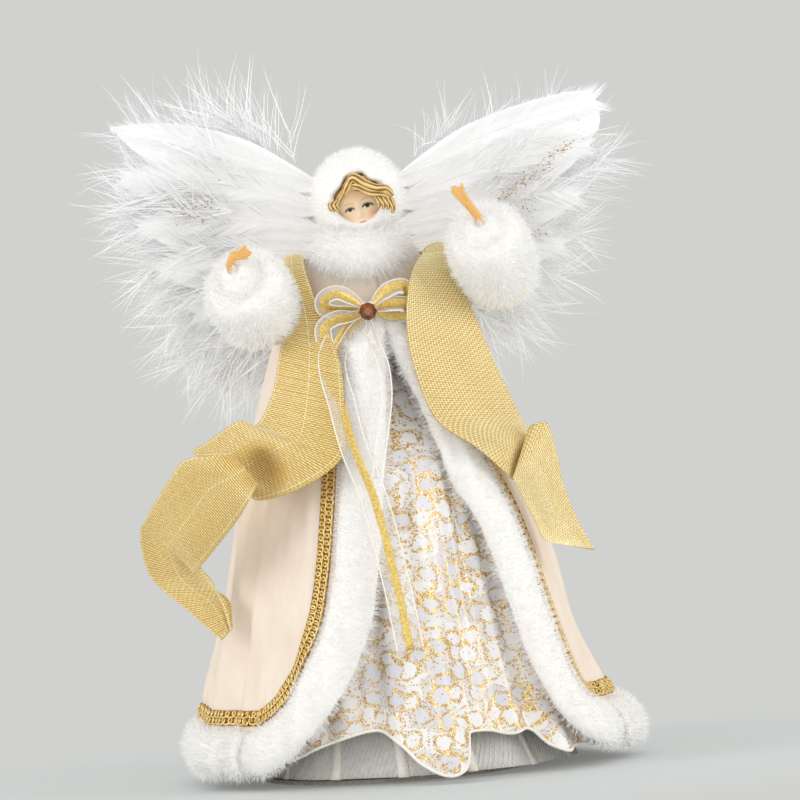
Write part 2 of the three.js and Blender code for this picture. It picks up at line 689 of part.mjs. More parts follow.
// A sleeve on its round shoulder, the cuff, the wire inside and the hand
function armPieces(arm) {
  const centre = armPoint(arm.cuffCentre);
  const mouth = point(arm.mouth).normalize();
  const onAxis = (distance) => centre.clone().addScaledVector(mouth, distance);
  const half = arm.cuffLength / 2;
  const route = armRoute(arm);
  const tube = limb(route, 8, 10, (t) => Array(2).fill(sleeveGirth(arm, t)));
  const tunnelRadius = armWireRadius + 2 * seatGap;
  const tunnelSize = () => [tunnelRadius, tunnelRadius];
  const tunnel = limb(route, wireSteps, 6, tunnelSize);
  const tunnelMouth = limb(new THREE.LineCurve3(onAxis(0), onAxis(3)), 1, 6, tunnelSize);
  const sleeve = cut(fuse(tube, ball(armPoint(arm.shoulder), sleeveHeadRadius, 14)), tunnel, tunnelMouth);
  add(`sleeve_${arm.name}`, sleeve, 'velvet');

  const across = new THREE.Vector3(0, 0, 1).cross(mouth).normalize();
  const up = mouth.clone().cross(across);
  const bore = sleeveRadius + 2 * seatGap;
  const cuff = wall(ringAngles(16), [-1, -0.8, -0.4, 0.4, 0.8, 1], (angle, v, side) => {
    const swell = (1 - Math.abs(v) ** 3) ** 0.5;
    const radius = side ? lerp(bore + 2, arm.cuffRadius, swell) : bore;
    return onAxis(v * half)
      .addScaledVector(across, radius * Math.cos(radians(angle)))
      .addScaledVector(up, radius * Math.sin(radians(angle)));
  }, true);
  add(`cuff_${arm.name}`, cuff, 'fur', 1);

  const wristStart = 1 + seatGap;
  const wireRoute = new THREE.CatmullRomCurve3(route.getSpacedPoints(wireSteps).slice(wireStart));
  const wire = limb(wireRoute, wireSteps - wireStart, 6, () => [armWireRadius, armWireRadius]);
  add(`arm_wire_${arm.name}`, wire, 'wire', 0.4, 1);

  const fingers = arm.handRoute.map(armPoint);
  const wrist = [onAxis(wristStart + seatGap), onAxis(half * 0.9)];
  const handRoute = new THREE.CatmullRomCurve3([...wrist, ...fingers]);
  const spread = [[0, handWristRadius], [0.45, 1.8], [0.66, 2.6], [0.85, 2.2], [1, 1.2]];
  const flatness = [[0, handWristRadius], [0.6, 1.5], [1, 0.9]];
  const palm = limb(handRoute, 9, 8, (t) => [profile(spread, t), profile(flatness, t)]);
  const thumbRoute = new THREE.LineCurve3(handRoute.getPointAt(0.72), armPoint(arm.thumbTip));
  const thumbSize = (t) => Array(2).fill(lerp(1.2, 0.7, t));
  const thumb = limb(thumbRoute, 3, 6, thumbSize, new THREE.Vector3(0, 1, 0));
  add(`hand_${arm.name}`, fuse(palm, thumb), 'skin', 0.5);
}

// A ribbon between two edge routes
function ribbon(edgeA, edgeB, along, across, thickness) {
  return wall(steps(along), steps(across), (t, v, side) => {
    const [a, b] = [edgeA.getPoint(t), edgeB.getPoint(t)];
    const run = edgeA.getTangent(t).add(edgeB.getTangent(t));
    const face = run.cross(b.clone().sub(a)).normalize();
    return a.lerp(b, v).addScaledVector(face, (side - 0.5) * thickness);
  });
}

const fromNeck = ([x, y, rise]) => [x, y, neckHeight + rise];

// The stole stands in front of the robe and its trims wherever its stations would come too close
function stolePiece(name, stole, along) {
  const clear = ([x, y, z]) => {
    const trims = z < openingTop ? furThickness + swingGap : 0;
    return [x, Math.min(y, skinFront(x, z) - trims - stoleLift), z];
  };
  const drape = (rises) => {
    const [first, ...rest] = rises.map(fromNeck);
    return smoothRoute([first, ...rest.map(clear)]);
  };
  add(name, ribbon(drape(stole.outer), drape(stole.inner), along, 3, stoleWall), 'ribbon', 0.4, 0.8);
}

function stoleBack() {
  const edge = (left, right) => {
    const start = point(left).add(new THREE.Vector3(0, seatGap * 2, 0));
    const end = point(right).add(new THREE.Vector3(0, seatGap * 2, 0));
    const back = [-0.55, 0, 0.55].map((share) => {
      const z = (left[2] + right[2]) / 2 - 6;
      const reach = skinPoint(180 - robeTurn, z, seatGap + stoleLift).y;
      return new THREE.Vector3(share * (right[0] - left[0]), reach * (1 - share * share * 0.6), z);
    });
    return new THREE.CatmullRomCurve3([start, ...back, end], false, 'centripetal');
  };
  const outer = edge(fromNeck(leftStole.outer[0]), fromNeck(rightStole.outer[0]));
  const inner = edge(fromNeck(leftStole.inner[0]), fromNeck(rightStole.inner[0]));
  add('stole_back', ribbon(outer, inner, 14, 1, stoleWall), 'ribbon', 0.4, 0.8);
}

function bow() {
  const knotY = skinFront(bowX, bowHeight - knotHalfSize * 1.3) - swingGap - knotHalfSize;
  const centre = new THREE.Vector3(bowX, knotY, bowHeight);
  const forward = new THREE.Vector3(0, -1, 0);
  const knotEnd = (way) => centre.clone().addScaledVector(forward, way * knotHalfSize);
  const knotRoute = new THREE.LineCurve3(knotEnd(-1), knotEnd(1));
  const knotSize = (t) => [0.7, 0.8].map((slim) => knotHalfSize * (slim + 0.5 * Math.sin(Math.PI * t)));
  add('bow_knot', limb(knotRoute, 4, 12, knotSize), 'organza');
  const bead = new THREE.IcosahedronGeometry(beadRadius, 1);
  add('bow_bead', bead.translate(bowX, knotY - knotHalfSize - seatGap - beadRadius, bowHeight), 'bead', 0.15);

  for (const [name, { side: aside, reach, rise, width, depth }] of Object.entries(loops)) {
    const root = bowX + aside * (knotHalfSize * 1.2 + seatGap);
    const lift = Math.sign(rise) * knotHalfSize * 0.6;
    const geometry = wall(steps(14), steps(2, -1, 1), (t, v, face) => {
      const turn = Math.PI * t;
      const out = Math.sin(turn);
      const thick = (face - 0.5) * bowRibbonWall;
      const open = depth * Math.cos(turn) * (0.25 + 0.75 * out);
      return new THREE.Vector3(
        root + aside * (reach * out * (1 - 0.12 * v * v) + thick * Math.sin(turn)),
        knotY - 1.2 - open - thick * Math.cos(turn),
        bowHeight + lift + rise * out + v * width * 0.5 * (0.3 + 0.7 * out),
      );
    });
    add(`bow_loop_${name}`, geometry, 'organza', 0.5);
  }

  for (const [name, { lift, stations }] of Object.entries(tails)) {
    const route = (aside) => smoothRoute(stations.map(([x, drop], i) => {
      const z = bowHeight - drop;
      const y = i === 0 ? knotY : Math.min(skinFront(x, z), skinFront(x + tailWidth, z)) - lift;
      return [x + aside * tailWidth * 0.5, y, z];
    }));
    add(`bow_tail_${name}`, ribbon(route(-1), route(1), 18, 1, bowRibbonWall), 'organza', 0.5);
  }
}

// A pad between the robe's back and the two wing hinges
function wingBridge() {
  const middle = 180 - robeTurn;
  const angles = steps(6, middle + bridgeHalfAngle, middle - bridgeHalfAngle);
  const heights = steps(3, hingeLow + 2, hingeHigh - 2);
  const block = wall(angles, heights, (angle, z, side) => {
    const onRobe = skinPoint(angle, z, seatGap);
    return side ? new THREE.Vector3(onRobe.x, hingeY, z) : onRobe;
  });
  const knuckleRoom = [-hingeX, hingeX]
    .map((x) => upright(x, hingeY, hingeLow, hingeHigh, hingeRadius + seatGap));
  add('wing_bridge', cut(block, bodyBlock(hipHeight, seatGap), ...knuckleRoom), 'foam');
}

function wing(name, side) {
  const backFace = hingeY + backingWall / 2;
  const outline = new THREE.Shape();
  outline.moveTo(side * hingeX, hingeLow);
  outline.lineTo(side * hingeX, hingeHigh);
  const backingCurves = [
    [[10, 6], [16, 36], [40, 36]],
    [[62, 36], [72, 12], [66, -10]],
    [[60, -30], [34, -44], [hingeX, hingeLow - wingHeight]],
  ];
  for (const curve of backingCurves) {
    outline.bezierCurveTo(...curve.flatMap(([x, rise]) => [side * x, wingHeight + rise]));
  }
  const sheet = { depth: backingWall, bevelEnabled: false, curveSegments: 6 };
  const card = new THREE.ExtrudeGeometry(outline, sheet)
    .rotateX(Math.PI / 2)
    .translate(0, backFace, 0);
  const knuckle = upright(side * hingeX, hingeY, hingeLow, hingeHigh, hingeRadius, 12);
  add(`wing_backing_${name}`, fuse(card, knuckle), 'foam');

  const wireY = backFace + seatGap + wingWireRadius;
  const wireBends = [[13, -30], [15, 6], [36, 34], [70, 48], [101, 54]];
  const wireRoute = smoothRoute(wireBends.map(([x, rise]) => [side * x, wireY, wingHeight + rise]));
  const wire = limb(wireRoute, 14, 6, () => [wingWireRadius, wingWireRadius], new THREE.Vector3(0, 1, 0));
  add(`wing_wire_${name}`, wire, 'wire', 0.4, 1);

  featherTips.forEach(([tipX, tipRise], i) => {
    const face = hingeY - backingWall / 2 - (seatGap + featherWall) * (i + 1);
    const root = new THREE.Vector2(wingRootX, wingHeight + topFeatherRise - featherSpacing * i);
    const run = new THREE.Vector2(tipX, wingHeight + tipRise).sub(root);
    const square = new THREE.Vector2(-run.y, run.x).normalize();
    const blade = wall(steps(8), steps(2, -1, 1), (t, v, faceSide) => {
      const half = featherWidth * 0.5 * profile(featherShape, t);
      const bend = featherBend * Math.sin(Math.PI * t);
      const spot = root.clone().addScaledVector(run, t).addScaledVector(square, v * half + bend);
      return new THREE.Vector3(side * spot.x, face + faceSide * featherWall, spot.y);
    });
    add(`feather_${name}_${i + 1}`, blade, 'feather');
  });

  const overWire = wireY - backFace + wingWireRadius;
  const pads = { lower: [-63, -18, 0], outer: [-16.5, 30, 0], top: [31, 78, overWire] };
  for (const [pad, [from, to, standOff]] of Object.entries(pads)) {
    const back = backFace + seatGap + standOff;
    const geometry = wall(steps(9, from, to), steps(3), (angle, v, faceSide) => {
      const lobe = marabouLobes * (1 - Math.cos((6 * Math.PI * (angle - from)) / (to - from)));
      const tip = profile(marabouReach, angle) - lobe;
      const radius = lerp(Math.min(marabouInner, tip * 0.6), tip, v);
      const depth = faceSide * marabouThickness * (0.4 + 0.6 * Math.sin(Math.PI * Math.min(1, v + 0.15)));
      return new THREE.Vector3(
        side * (wingRootX + radius * Math.cos(radians(angle))),
        back + depth,
        wingHeight + radius * Math.sin(radians(angle)),
      );
    });
    add(`marabou_${pad}_${name}`, geometry, 'feather', 1);
  }
}

supportCone();
petticoat();
bust();
robe();
trims();
gown();
head();
hair();
hood();
collar();
armPieces(leftArm);
armPieces(rightArm);
stolePiece('stole_left', leftStole, 30);
stolePiece('stole_right', rightStole, 24);
stoleBack();
bow();
wingBridge();
wing('left', -1);
wing('right', 1);

export default fairy;
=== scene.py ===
# %% [markdown]
# # A fairy for the top of the tree
# This lesson dresses a doll whose solid pieces already exist: a card cone, a bust, a head on a peg, wire arms
# and card wings. Everything soft is made here over those solids, in the same frame: millimetres in the code,
# metres in Blender, +Z up, and the figure faces -Y.

# %% Load the frame
import math

import bmesh
import bpy
import numpy as np
from mathutils import Matrix, Vector, noise


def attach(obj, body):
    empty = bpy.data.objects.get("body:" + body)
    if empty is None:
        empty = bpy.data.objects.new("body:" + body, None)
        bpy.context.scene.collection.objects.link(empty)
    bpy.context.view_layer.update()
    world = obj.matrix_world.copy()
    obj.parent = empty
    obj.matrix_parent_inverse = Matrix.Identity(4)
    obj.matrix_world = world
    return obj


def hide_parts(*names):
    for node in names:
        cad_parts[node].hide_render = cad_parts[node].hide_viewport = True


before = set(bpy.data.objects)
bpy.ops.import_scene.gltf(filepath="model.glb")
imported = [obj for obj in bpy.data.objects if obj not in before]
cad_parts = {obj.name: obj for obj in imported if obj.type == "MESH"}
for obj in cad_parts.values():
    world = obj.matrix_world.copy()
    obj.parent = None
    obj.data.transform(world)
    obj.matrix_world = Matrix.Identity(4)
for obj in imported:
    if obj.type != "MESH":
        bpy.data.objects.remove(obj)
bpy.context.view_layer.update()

MM = 0.001

# %% [markdown]
# ## Camera
# The figure leans a little to the viewer's left in the picture, so the camera is rolled and the doll stays
# upright. A long lens from some metres away keeps the sides nearly parallel, so a place in the picture tells
# a place on the doll.

# %% Camera
CAMERA_AIM = Vector((11.9, 0, 157.7)) * MM
CAMERA_DISTANCE = 12.0
CAMERA_LENS = 1270.2
CAMERA_RISE = math.radians(4)
CAMERA_ROLL = math.radians(4)
camera = bpy.data.objects.new("camera", bpy.data.cameras.new("camera"))
bpy.context.scene.collection.objects.link(camera)
camera.data.lens = CAMERA_LENS
camera.data.sensor_width = 36
camera.data.clip_end = 40
back = Vector((0, -math.cos(CAMERA_RISE), math.sin(CAMERA_RISE)))
up_hint = Vector((math.sin(CAMERA_ROLL), 0, math.cos(CAMERA_ROLL)))
right = up_hint.cross(back).normalized()
turn = Matrix((right, back.cross(right), back)).transposed().to_4x4()
camera.matrix_world = Matrix.Translation(CAMERA_AIM + back * CAMERA_DISTANCE) @ turn
bpy.context.scene.camera = camera
print("camera at", [round(x, 3) for x in camera.matrix_world.translation])

# %% [markdown]
# ## Small helpers
# Every material and every node tree here is made with one function that adds a node, sets it up and links it.
# Colours are written as sRGB hex, the way a paint program shows them, and turned to linear light once.

# %% Nodes and colours


def linear(code):
    """A hex colour such as F4EEE2 as linear red, green and blue, with an alpha of 1."""
    shares = [int(code[i:i + 2], 16) / 255 for i in (0, 2, 4)]
    return (*[s / 12.92 if s <= 0.04045 else ((s + 0.055) / 1.055) ** 2.4 for s in shares], 1.0)


def put(tree, kind, feeds=None, **settings):
    """Adds a node with its settings, and feeds its inputs with sockets, first outputs or plain values."""
    made = tree.nodes.new(kind)
    for key, value in settings.items():
        setattr(made, key, value)
    for key, value in (feeds or {}).items():
        if isinstance(value, bpy.types.Node):
            value = value.outputs[0]
        if isinstance(value, bpy.types.NodeSocket):
            tree.links.new(value, made.inputs[key])
        else:
            made.inputs[key].default_value = value
    return made


def new_finish(name, **sockets):
    """A material with its shader's own sockets set, and its tree and shader to build on."""
    finish = bpy.data.materials.new(name)
    finish.use_nodes = True
    shader = finish.node_tree.nodes["Principled BSDF"]
    for key, value in sockets.items():
        shader.inputs[key.replace("_", " ")].default_value = value
    return finish, finish.node_tree, shader


def new_tree(name, **inputs):
    """A Geometry Nodes tree with named inputs, and its input node and a function that ends it."""
    tree = bpy.data.node_groups.new(name, "GeometryNodeTree")
    tree.interface.new_socket("Geometry", in_out="INPUT", socket_type="NodeSocketGeometry")
    for key, kind in inputs.items():
        tree.interface.new_socket(key, in_out="INPUT", socket_type="NodeSocket" + kind)
    tree.interface.new_socket("Geometry", in_out="OUTPUT", socket_type="NodeSocketGeometry")
    given = put(tree, "NodeGroupInput").outputs

    def end(geometry):
        real = put(tree, "GeometryNodeRealizeInstances", {"Geometry": geometry})
        dressed = put(tree, "GeometryNodeSetMaterial",
                      {"Geometry": real.outputs[0], "Material": given["Finish"]})
        put(tree, "NodeGroupOutput", {"Geometry": dressed.outputs[0]})
    return tree, given, end


# %% Plain meshes, and what a node tree makes of them


def new_piece(name, points, faces=(), finish=None, edges=()):
    """An object at the origin whose points are given in millimetres."""
    mesh = bpy.data.meshes.new(name)
    mesh.from_pydata([tuple(x * MM for x in p) for p in points], edges, faces)
    if finish:
        mesh.materials.append(finish)
    mesh.shade_smooth()
    piece = bpy.data.objects.new(name, mesh)
    bpy.context.scene.collection.objects.link(piece)
    return piece


def settle(piece):
    """Applies a piece's modifiers, so that a plain mesh is left."""
    graph = bpy.context.evaluated_depsgraph_get()
    seen = piece.evaluated_get(graph)
    made = bpy.data.meshes.new_from_object(seen, preserve_all_data_layers=True, depsgraph=graph)
    piece.modifiers.clear()
    old = piece.data
    piece.data = made
    made.name = piece.name
    bpy.data.meshes.remove(old)
    return piece


def grow(piece, tree, **inputs):
    """Runs a Geometry Nodes tree on a piece and keeps what it makes."""
    modifier = piece.modifiers.new("grow", "NODES")
    modifier.node_group = tree
    for item in tree.interface.items_tree:
        if item.in_out == "INPUT" and item.name in inputs:
            modifier[item.identifier] = inputs[item.name]
    return settle(piece)


def wear(piece, body, slot, *nodes):
    """Puts a finished piece on its body, in place of the solids that it stands for."""
    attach(piece, body)
    if nodes:
        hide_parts(*nodes)
    print(piece.name, "on", body, len(piece.data.polygons), "faces")


def drop(*pieces):
    """Removes helper objects that are no part of the doll."""
    for piece in pieces:
        bpy.data.objects.remove(piece)


# %% Small measures


def unit(v):
    """A direction, with a length of 1."""
    return np.array(v, float) / np.linalg.norm(v)


def all_round(count):
    """Angles evenly spaced over a full turn."""
    return np.linspace(0, 2 * math.pi, count, endpoint=False)


def chain(start, count):
    """The edges of a line of points."""
    return [(start + k, start + k + 1) for k in range(count)]


def run_of(line):
    """How far along a line each of its points is."""
    return np.concatenate([[0], np.cumsum([np.linalg.norm(q - p) for p, q in zip(line, line[1:])])])


def area_of(piece):
    """The area of a piece's faces, in square metres."""
    return sum(face.area for face in piece.data.polygons)


# %% Values between stations, and a curve through points


def lerp(a, b, t):
    """A value between two others."""
    return a + (b - a) * t


def smooth_step(a, b, x):
    """0 up to a and 1 from b on, eased between them."""
    t = min(1, max(0, (x - a) / (b - a)))
    return t * t * (3 - 2 * t)


def profile(stations, at):
    """A value from chosen stations, eased so that it never overshoots them."""
    xs, ys = zip(*stations)
    if at <= xs[0]:
        return ys[0]
    if at >= xs[-1]:
        return ys[-1]
    slopes = [(ys[i + 1] - ys[i]) / (xs[i + 1] - xs[i]) for i in range(len(xs) - 1)]
    k = next(i for i in range(len(xs) - 1) if at < xs[i + 1])

    def tangent(i):
        if i in (0, len(xs) - 1):
            return slopes[min(i, len(slopes) - 1)]
        before, after = slopes[i - 1], slopes[i]
        return 0 if before * after <= 0 else 2 * before * after / (before + after)
    span = xs[k + 1] - xs[k]
    t = (at - xs[k]) / span
    drift = span * (t * (1 - t) ** 2 * tangent(k) - t * t * (1 - t) * tangent(k + 1))
    return lerp(ys[k], ys[k + 1], t * t * (3 - 2 * t)) + drift


def route(stations, count):
    """Points along a smooth curve through the stations (centripetal Catmull-Rom)."""
    pts = [np.array(p, float) for p in stations]
    pts = [2 * pts[0] - pts[1], *pts, 2 * pts[-1] - pts[-2]]
    made = []
    for at in np.linspace(0, len(pts) - 3, count):
        k = min(int(at), len(pts) - 4)
        a, b, c, d = pts[k:k + 4]
        s1, s2, s3 = (max(np.linalg.norm(q - p), 1e-6) ** 0.5 for p, q in ((a, b), (b, c), (c, d)))
        m1 = ((b - a) / s1 - (c - a) / (s1 + s2) + (c - b) / s2) * s2
        m2 = ((c - b) / s2 - (d - b) / (s2 + s3) + (d - c) / s3) * s2
        t = at - k
        made.append((2 * t**3 - 3 * t**2 + 1) * b + (t**3 - 2 * t**2 + t) * m1
                    + (3 * t**2 - 2 * t**3) * c + (t**3 - t**2) * m2)
    return made


# %% A sheet over two directions, and its wall


def grid_piece(name, us, vs, at, finish=None, closed=False):
    """A sheet of quads through at(u, v), with a UV map that runs from 0 to 1 both ways."""
    points = [at(u, v) for v in vs for u in us]
    wide = len(us)
    across = wide if closed else wide - 1
    faces, corners = [], []
    for j in range(len(vs) - 1):
        for i in range(across):
            k = (i + 1) % wide
            faces.append((j * wide + i, j * wide + k, (j + 1) * wide + k, (j + 1) * wide + i))
            corners += [(i, j), (i + 1, j), (i + 1, j + 1), (i, j + 1)]
    piece = new_piece(name, points, faces, finish)
    flat = piece.data.uv_layers.new(name="flat")
    flat.data.foreach_set("uv", [x for i, j in corners for x in (i / across, j / (len(vs) - 1))])
    return piece


def thicken(piece, wall, offset=-1):
    """Gives a sheet a real thickness in millimetres, inwards unless told otherwise."""
    solid = piece.modifiers.new("wall", "SOLIDIFY")
    solid.thickness = wall * MM
    solid.offset = offset
    return settle(piece)


# %% Solids through rings, and one object from several


def tube_points(line, radius, sides, squash=1.0):
    """Rings of points round a line, with a radius for each place along it."""
    line = [np.array(p, float) for p in line]
    rings = []
    side = None
    for i, p in enumerate(line):
        along = unit(line[min(i + 1, len(line) - 1)] - line[max(i - 1, 0)])
        if side is None:
            side = np.cross(along, (0, 1, 0) if abs(along[1]) < 0.9 else (1, 0, 0))
        side = unit(side - along * side.dot(along))
        other = np.cross(along, side)
        size = radius(i / (len(line) - 1)) if callable(radius) else radius
        rings.append([p + size * (math.cos(a) * side + squash * math.sin(a) * other)
                      for a in all_round(sides)])
    return rings


def rings_piece(name, rings, finish=None):
    """A closed solid through rings of equal counts."""
    count = len(rings[0])
    points = [p for ring in rings for p in ring]
    faces = []
    for r in range(len(rings) - 1):
        low, high = r * count, (r + 1) * count
        faces += [(low + i, low + (i + 1) % count, high + (i + 1) % count, high + i) for i in range(count)]
    faces += [tuple(range(count))[::-1], tuple(range(len(points) - count, len(points)))]
    piece = new_piece(name, points, faces, finish)
    outwards(piece)
    return piece


def outwards(piece):
    """Turns a closed mesh's faces outwards."""
    form = bmesh.new()
    form.from_mesh(piece.data)
    bmesh.ops.recalc_face_normals(form, faces=form.faces)
    form.to_mesh(piece.data)
    form.free()


def join(name, pieces):
    """One object from several, each keeping its material."""
    with bpy.context.temp_override(active_object=pieces[0], selected_editable_objects=pieces):
        bpy.ops.object.join()
    pieces[0].name = pieces[0].data.name = name
    return pieces[0]

# %% [markdown]
# ## Finishes
# Each finish starts from what the real one is. Nearly all of them are pale, so what tells them apart is how
# they take the light: pile scatters it, satin has a soft gloss, foil thread throws it back in sparks.
# The scale of each pattern comes from a real size in millimetres.

# %% A ramp's stops, a mottled surface, which most finishes begin with, and a colour that is kept on the mesh


def stops(ramp, first, last, *between):
    """Sets a colour ramp's two ends, and then adds the stops between them, each a place and a hex colour."""
    for stop, (at, code) in zip(ramp.color_ramp.elements, (first, last)):
        stop.position, stop.color = at, linear(code)
    for at, code in between:
        ramp.color_ramp.elements.new(at).color = linear(code)


def mottle(tree, shader, light, dark, size, bump=0.0, stretch=(1, 1, 1), detail=3.0):
    """Varies the colour between two hex values over a real size in millimetres, with a bump to match."""
    place = put(tree, "ShaderNodeTexCoord").outputs["Object"]
    laid = put(tree, "ShaderNodeMapping", {"Vector": place, "Scale": stretch})
    cloud = put(tree, "ShaderNodeTexNoise", {"Vector": laid, "Scale": 1 / (size * MM), "Detail": detail})
    spread = put(tree, "ShaderNodeValToRGB", {"Fac": cloud})
    stops(spread, (0.3, dark), (0.7, light))
    tree.links.new(spread.outputs[0], shader.inputs["Base Color"])
    if bump:
        relief = put(tree, "ShaderNodeBump", {"Height": cloud, "Strength": 0.6, "Distance": bump * MM})
        tree.links.new(relief.outputs[0], shader.inputs["Normal"])


def mottled(name, light, dark, size, bump=0.0, stretch=(1, 1, 1), detail=3.0, **sockets):
    """A finish that is a mottled surface and nothing more."""
    finish, tree, shader = new_finish(name, **sockets)
    mottle(tree, shader, light, dark, size, bump, stretch, detail)
    return finish


def from_mesh(tree, shader, name, *colours):
    """Takes the colour from an attribute of the mesh: its own, or stops along its value."""
    kept = put(tree, "ShaderNodeAttribute", attribute_name=name)
    colour = kept.outputs["Color"]
    if colours:
        ramp = put(tree, "ShaderNodeValToRGB", {"Fac": kept.outputs["Fac"]})
        stops(ramp, *colours)
        colour = ramp.outputs[0]
    tree.links.new(colour, shader.inputs["Base Color"])


# %% Pile and down
# Modacrylic fur: painted shade at the roots, a little warm, and the tips go to white
fur, tree, shader = new_finish("modacrylic fur pile", Roughness=0.9, Sheen_Weight=0.5, Specular_IOR_Level=0.2)
from_mesh(tree, shader, "along", (0, "FCFAF7"), (1, "FFFFFF"), (0.45, "FEFDFB"))

# The knitted backing that the pile stands in: seen only between strands
fur_knit = mottled("knitted fur backing", "FFFEFC", "FAF6F1", 2.0, bump=0.3,
                   Roughness=0.95, Specular_IOR_Level=0.1)

# Bleached feather: white all over, and a little greyer towards the shaft
down, tree, shader = new_finish("bleached feather", Roughness=0.7, Specular_IOR_Level=0.25)
from_mesh(tree, shader, "along", (0, "F8F8F8"), (1, "FFFFFF"))

# The web of a flat feather: the same white, with a fine uneven grain
down_leaf = mottled("bleached feather web", "FFFFFF", "F5F5F4", 1.2, bump=0.05, stretch=(0.4, 1, 1),
                    Roughness=0.6, Specular_IOR_Level=0.25)

# %% Velour
# Cream velour: a short nap that lightens at grazing angles, with long soft patches where it was stroked
velour = mottled("cream velour", "F3E5D6", "E9D8C6", 9.0, bump=0.5, stretch=(1, 1, 0.35),
                 Roughness=0.85, Sheen_Weight=0.35, Specular_IOR_Level=0.15, Sheen_Tint=linear("FFF4E4"))

# %% The satin's print
# Printed satin: white or lilac rounds, each with a ring of gold glitter glued round it. A ring is where a
# place is one radius from its own cell's middle, or where two cells meet, and the glitter is cells again,
# much finer. It wears off in patches, and it is drawn a little coarser than it is, so that it shows
CELL, RING, FLAKE = 9.6, 3.9, 0.52
BEND, BENDS_PER_MM, PATCHES_PER_MM = 5, 0.17, 0.035
printed, tree, shader = new_finish("printed satin", Roughness=0.42, Sheen_Weight=0.15, Specular_IOR_Level=0.4)
chart = put(tree, "ShaderNodeAttribute", attribute_name="print").outputs["Vector"]
wander = put(tree, "ShaderNodeTexNoise", {"Vector": chart, "Scale": BENDS_PER_MM, "Detail": 1.0},
             noise_dimensions="2D")
centred = put(tree, "ShaderNodeVectorMath", {0: wander.outputs["Color"], 1: (0.5, 0.5, 0.5)},
              operation="SUBTRACT")
bent = put(tree, "ShaderNodeVectorMath", {0: centred, 1: (BEND, BEND, 0), 2: chart},
           operation="MULTIPLY_ADD")
near, beside = [put(tree, "ShaderNodeTexVoronoi",
                    {"Vector": bent, "Scale": 1 / CELL, "Randomness": 0.65},
                    voronoi_dimensions="2D", feature=rank) for rank in ("F1", "F2")]
gap = put(tree, "ShaderNodeMath", {0: beside.outputs["Distance"], 1: near.outputs["Distance"]},
          operation="SUBTRACT")
seam = put(tree, "ShaderNodeMapRange",
           {"Value": gap, "From Min": 0.5 / CELL, "From Max": 1.2 / CELL, "To Min": 0.55, "To Max": 0.035})
off = put(tree, "ShaderNodeMath", {0: near.outputs["Distance"], 1: RING / CELL}, operation="SUBTRACT")
off = put(tree, "ShaderNodeMath", {0: off}, operation="ABSOLUTE")
ring = put(tree, "ShaderNodeMapRange",
           {"Value": off, "From Min": 0.6 / CELL, "From Max": 1.1 / CELL, "To Min": 0.97, "To Max": 0.03})
either = put(tree, "ShaderNodeMath", {0: seam, 1: ring}, operation="MAXIMUM")
worn = put(tree, "ShaderNodeTexNoise", {"Vector": chart, "Scale": PATCHES_PER_MM, "Detail": 1.0},
           noise_dimensions="2D")
worn = put(tree, "ShaderNodeMapRange",
           {"Value": worn.outputs["Fac"], "From Min": 0.36, "From Max": 0.52, "To Min": 0.68, "To Max": 1.0})
band = put(tree, "ShaderNodeMath", {0: either, 1: worn}, operation="MULTIPLY")
grain = put(tree, "ShaderNodeTexVoronoi", {"Vector": chart, "Scale": 1 / FLAKE}, voronoi_dimensions="2D")
luck = put(tree, "ShaderNodeSeparateColor", {"Color": grain.outputs["Color"]})
kept = put(tree, "ShaderNodeMath", {0: luck, 1: band}, operation="LESS_THAN")
small = put(tree, "ShaderNodeMath", {0: grain.outputs["Distance"], 1: 0.62}, operation="LESS_THAN")
flake = put(tree, "ShaderNodeMath", {0: kept, 1: small}, operation="MULTIPLY").outputs[0]
gold = put(tree, "ShaderNodeValToRGB", {"Fac": luck.outputs[1]})
stops(gold, (0, "AE7C2C"), (1, "FFF6D2"), (0.3, "D2A54C"), (0.72, "EACB7C"))
cell = put(tree, "ShaderNodeSeparateColor", {"Color": near.outputs["Color"]})
fill = put(tree, "ShaderNodeValToRGB", {"Fac": cell})
stops(fill, (0.4, "F0EDEC"), (0.7, "DCDADF"))
colour = put(tree, "ShaderNodeMix", {0: flake, 6: fill, 7: gold}, data_type="RGBA")
tree.links.new(colour.outputs[2], shader.inputs["Base Color"])
shine = put(tree, "ShaderNodeMath", {0: flake, 1: 0.5}, operation="MULTIPLY")
tree.links.new(shine.outputs[0], shader.inputs["Metallic"])
relief = put(tree, "ShaderNodeBump", {"Height": flake, "Strength": 0.5, "Distance": 0.2 * MM})
tree.links.new(relief.outputs[0], shader.inputs["Normal"])

# %% Net and organza
# Stiff nylon net: a thin see-through film for its haze, with the threads themselves made as a mesh
net_film = mottled("nylon net haze", "FDFAF4", "EEEAE2", 3.0,
                   Roughness=0.8, Alpha=0.62, Specular_IOR_Level=0.1)
net_thread = mottled("nylon net thread", "FCFCFB", "E4E4E2", 4.0, Roughness=0.5, Specular_IOR_Level=0.3)

# Organza: sheer, slightly stiff, with corded white edges and a gold stripe woven in
organza = mottled("sheer organza", "FFFDF8", "EFEAE6", 2.5, Roughness=0.45, Alpha=0.2, Sheen_Weight=0.2)
edge_cord = mottled("white edge cord", "FFFDF6", "F0E7D6", 0.8, bump=0.1, Roughness=0.7, Sheen_Weight=0.2)

# %% Gold
# Foil thread: flat metallised film wound on a core, so it glints in short dashes
foil_thread = mottled("gold foil thread", "FFF8D6", "F6E2A0", 1.1, bump=0.12, detail=1.0,
                      Metallic=0.3, Roughness=0.42)
# The gold stripe in the bow's ribbon: the same film, woven flat with the organza
foil_stripe = mottled("gold ribbon stripe", "F6DF92", "DDB34E", 0.9, bump=0.1, detail=1.0,
                      Metallic=0.55, Roughness=0.45)
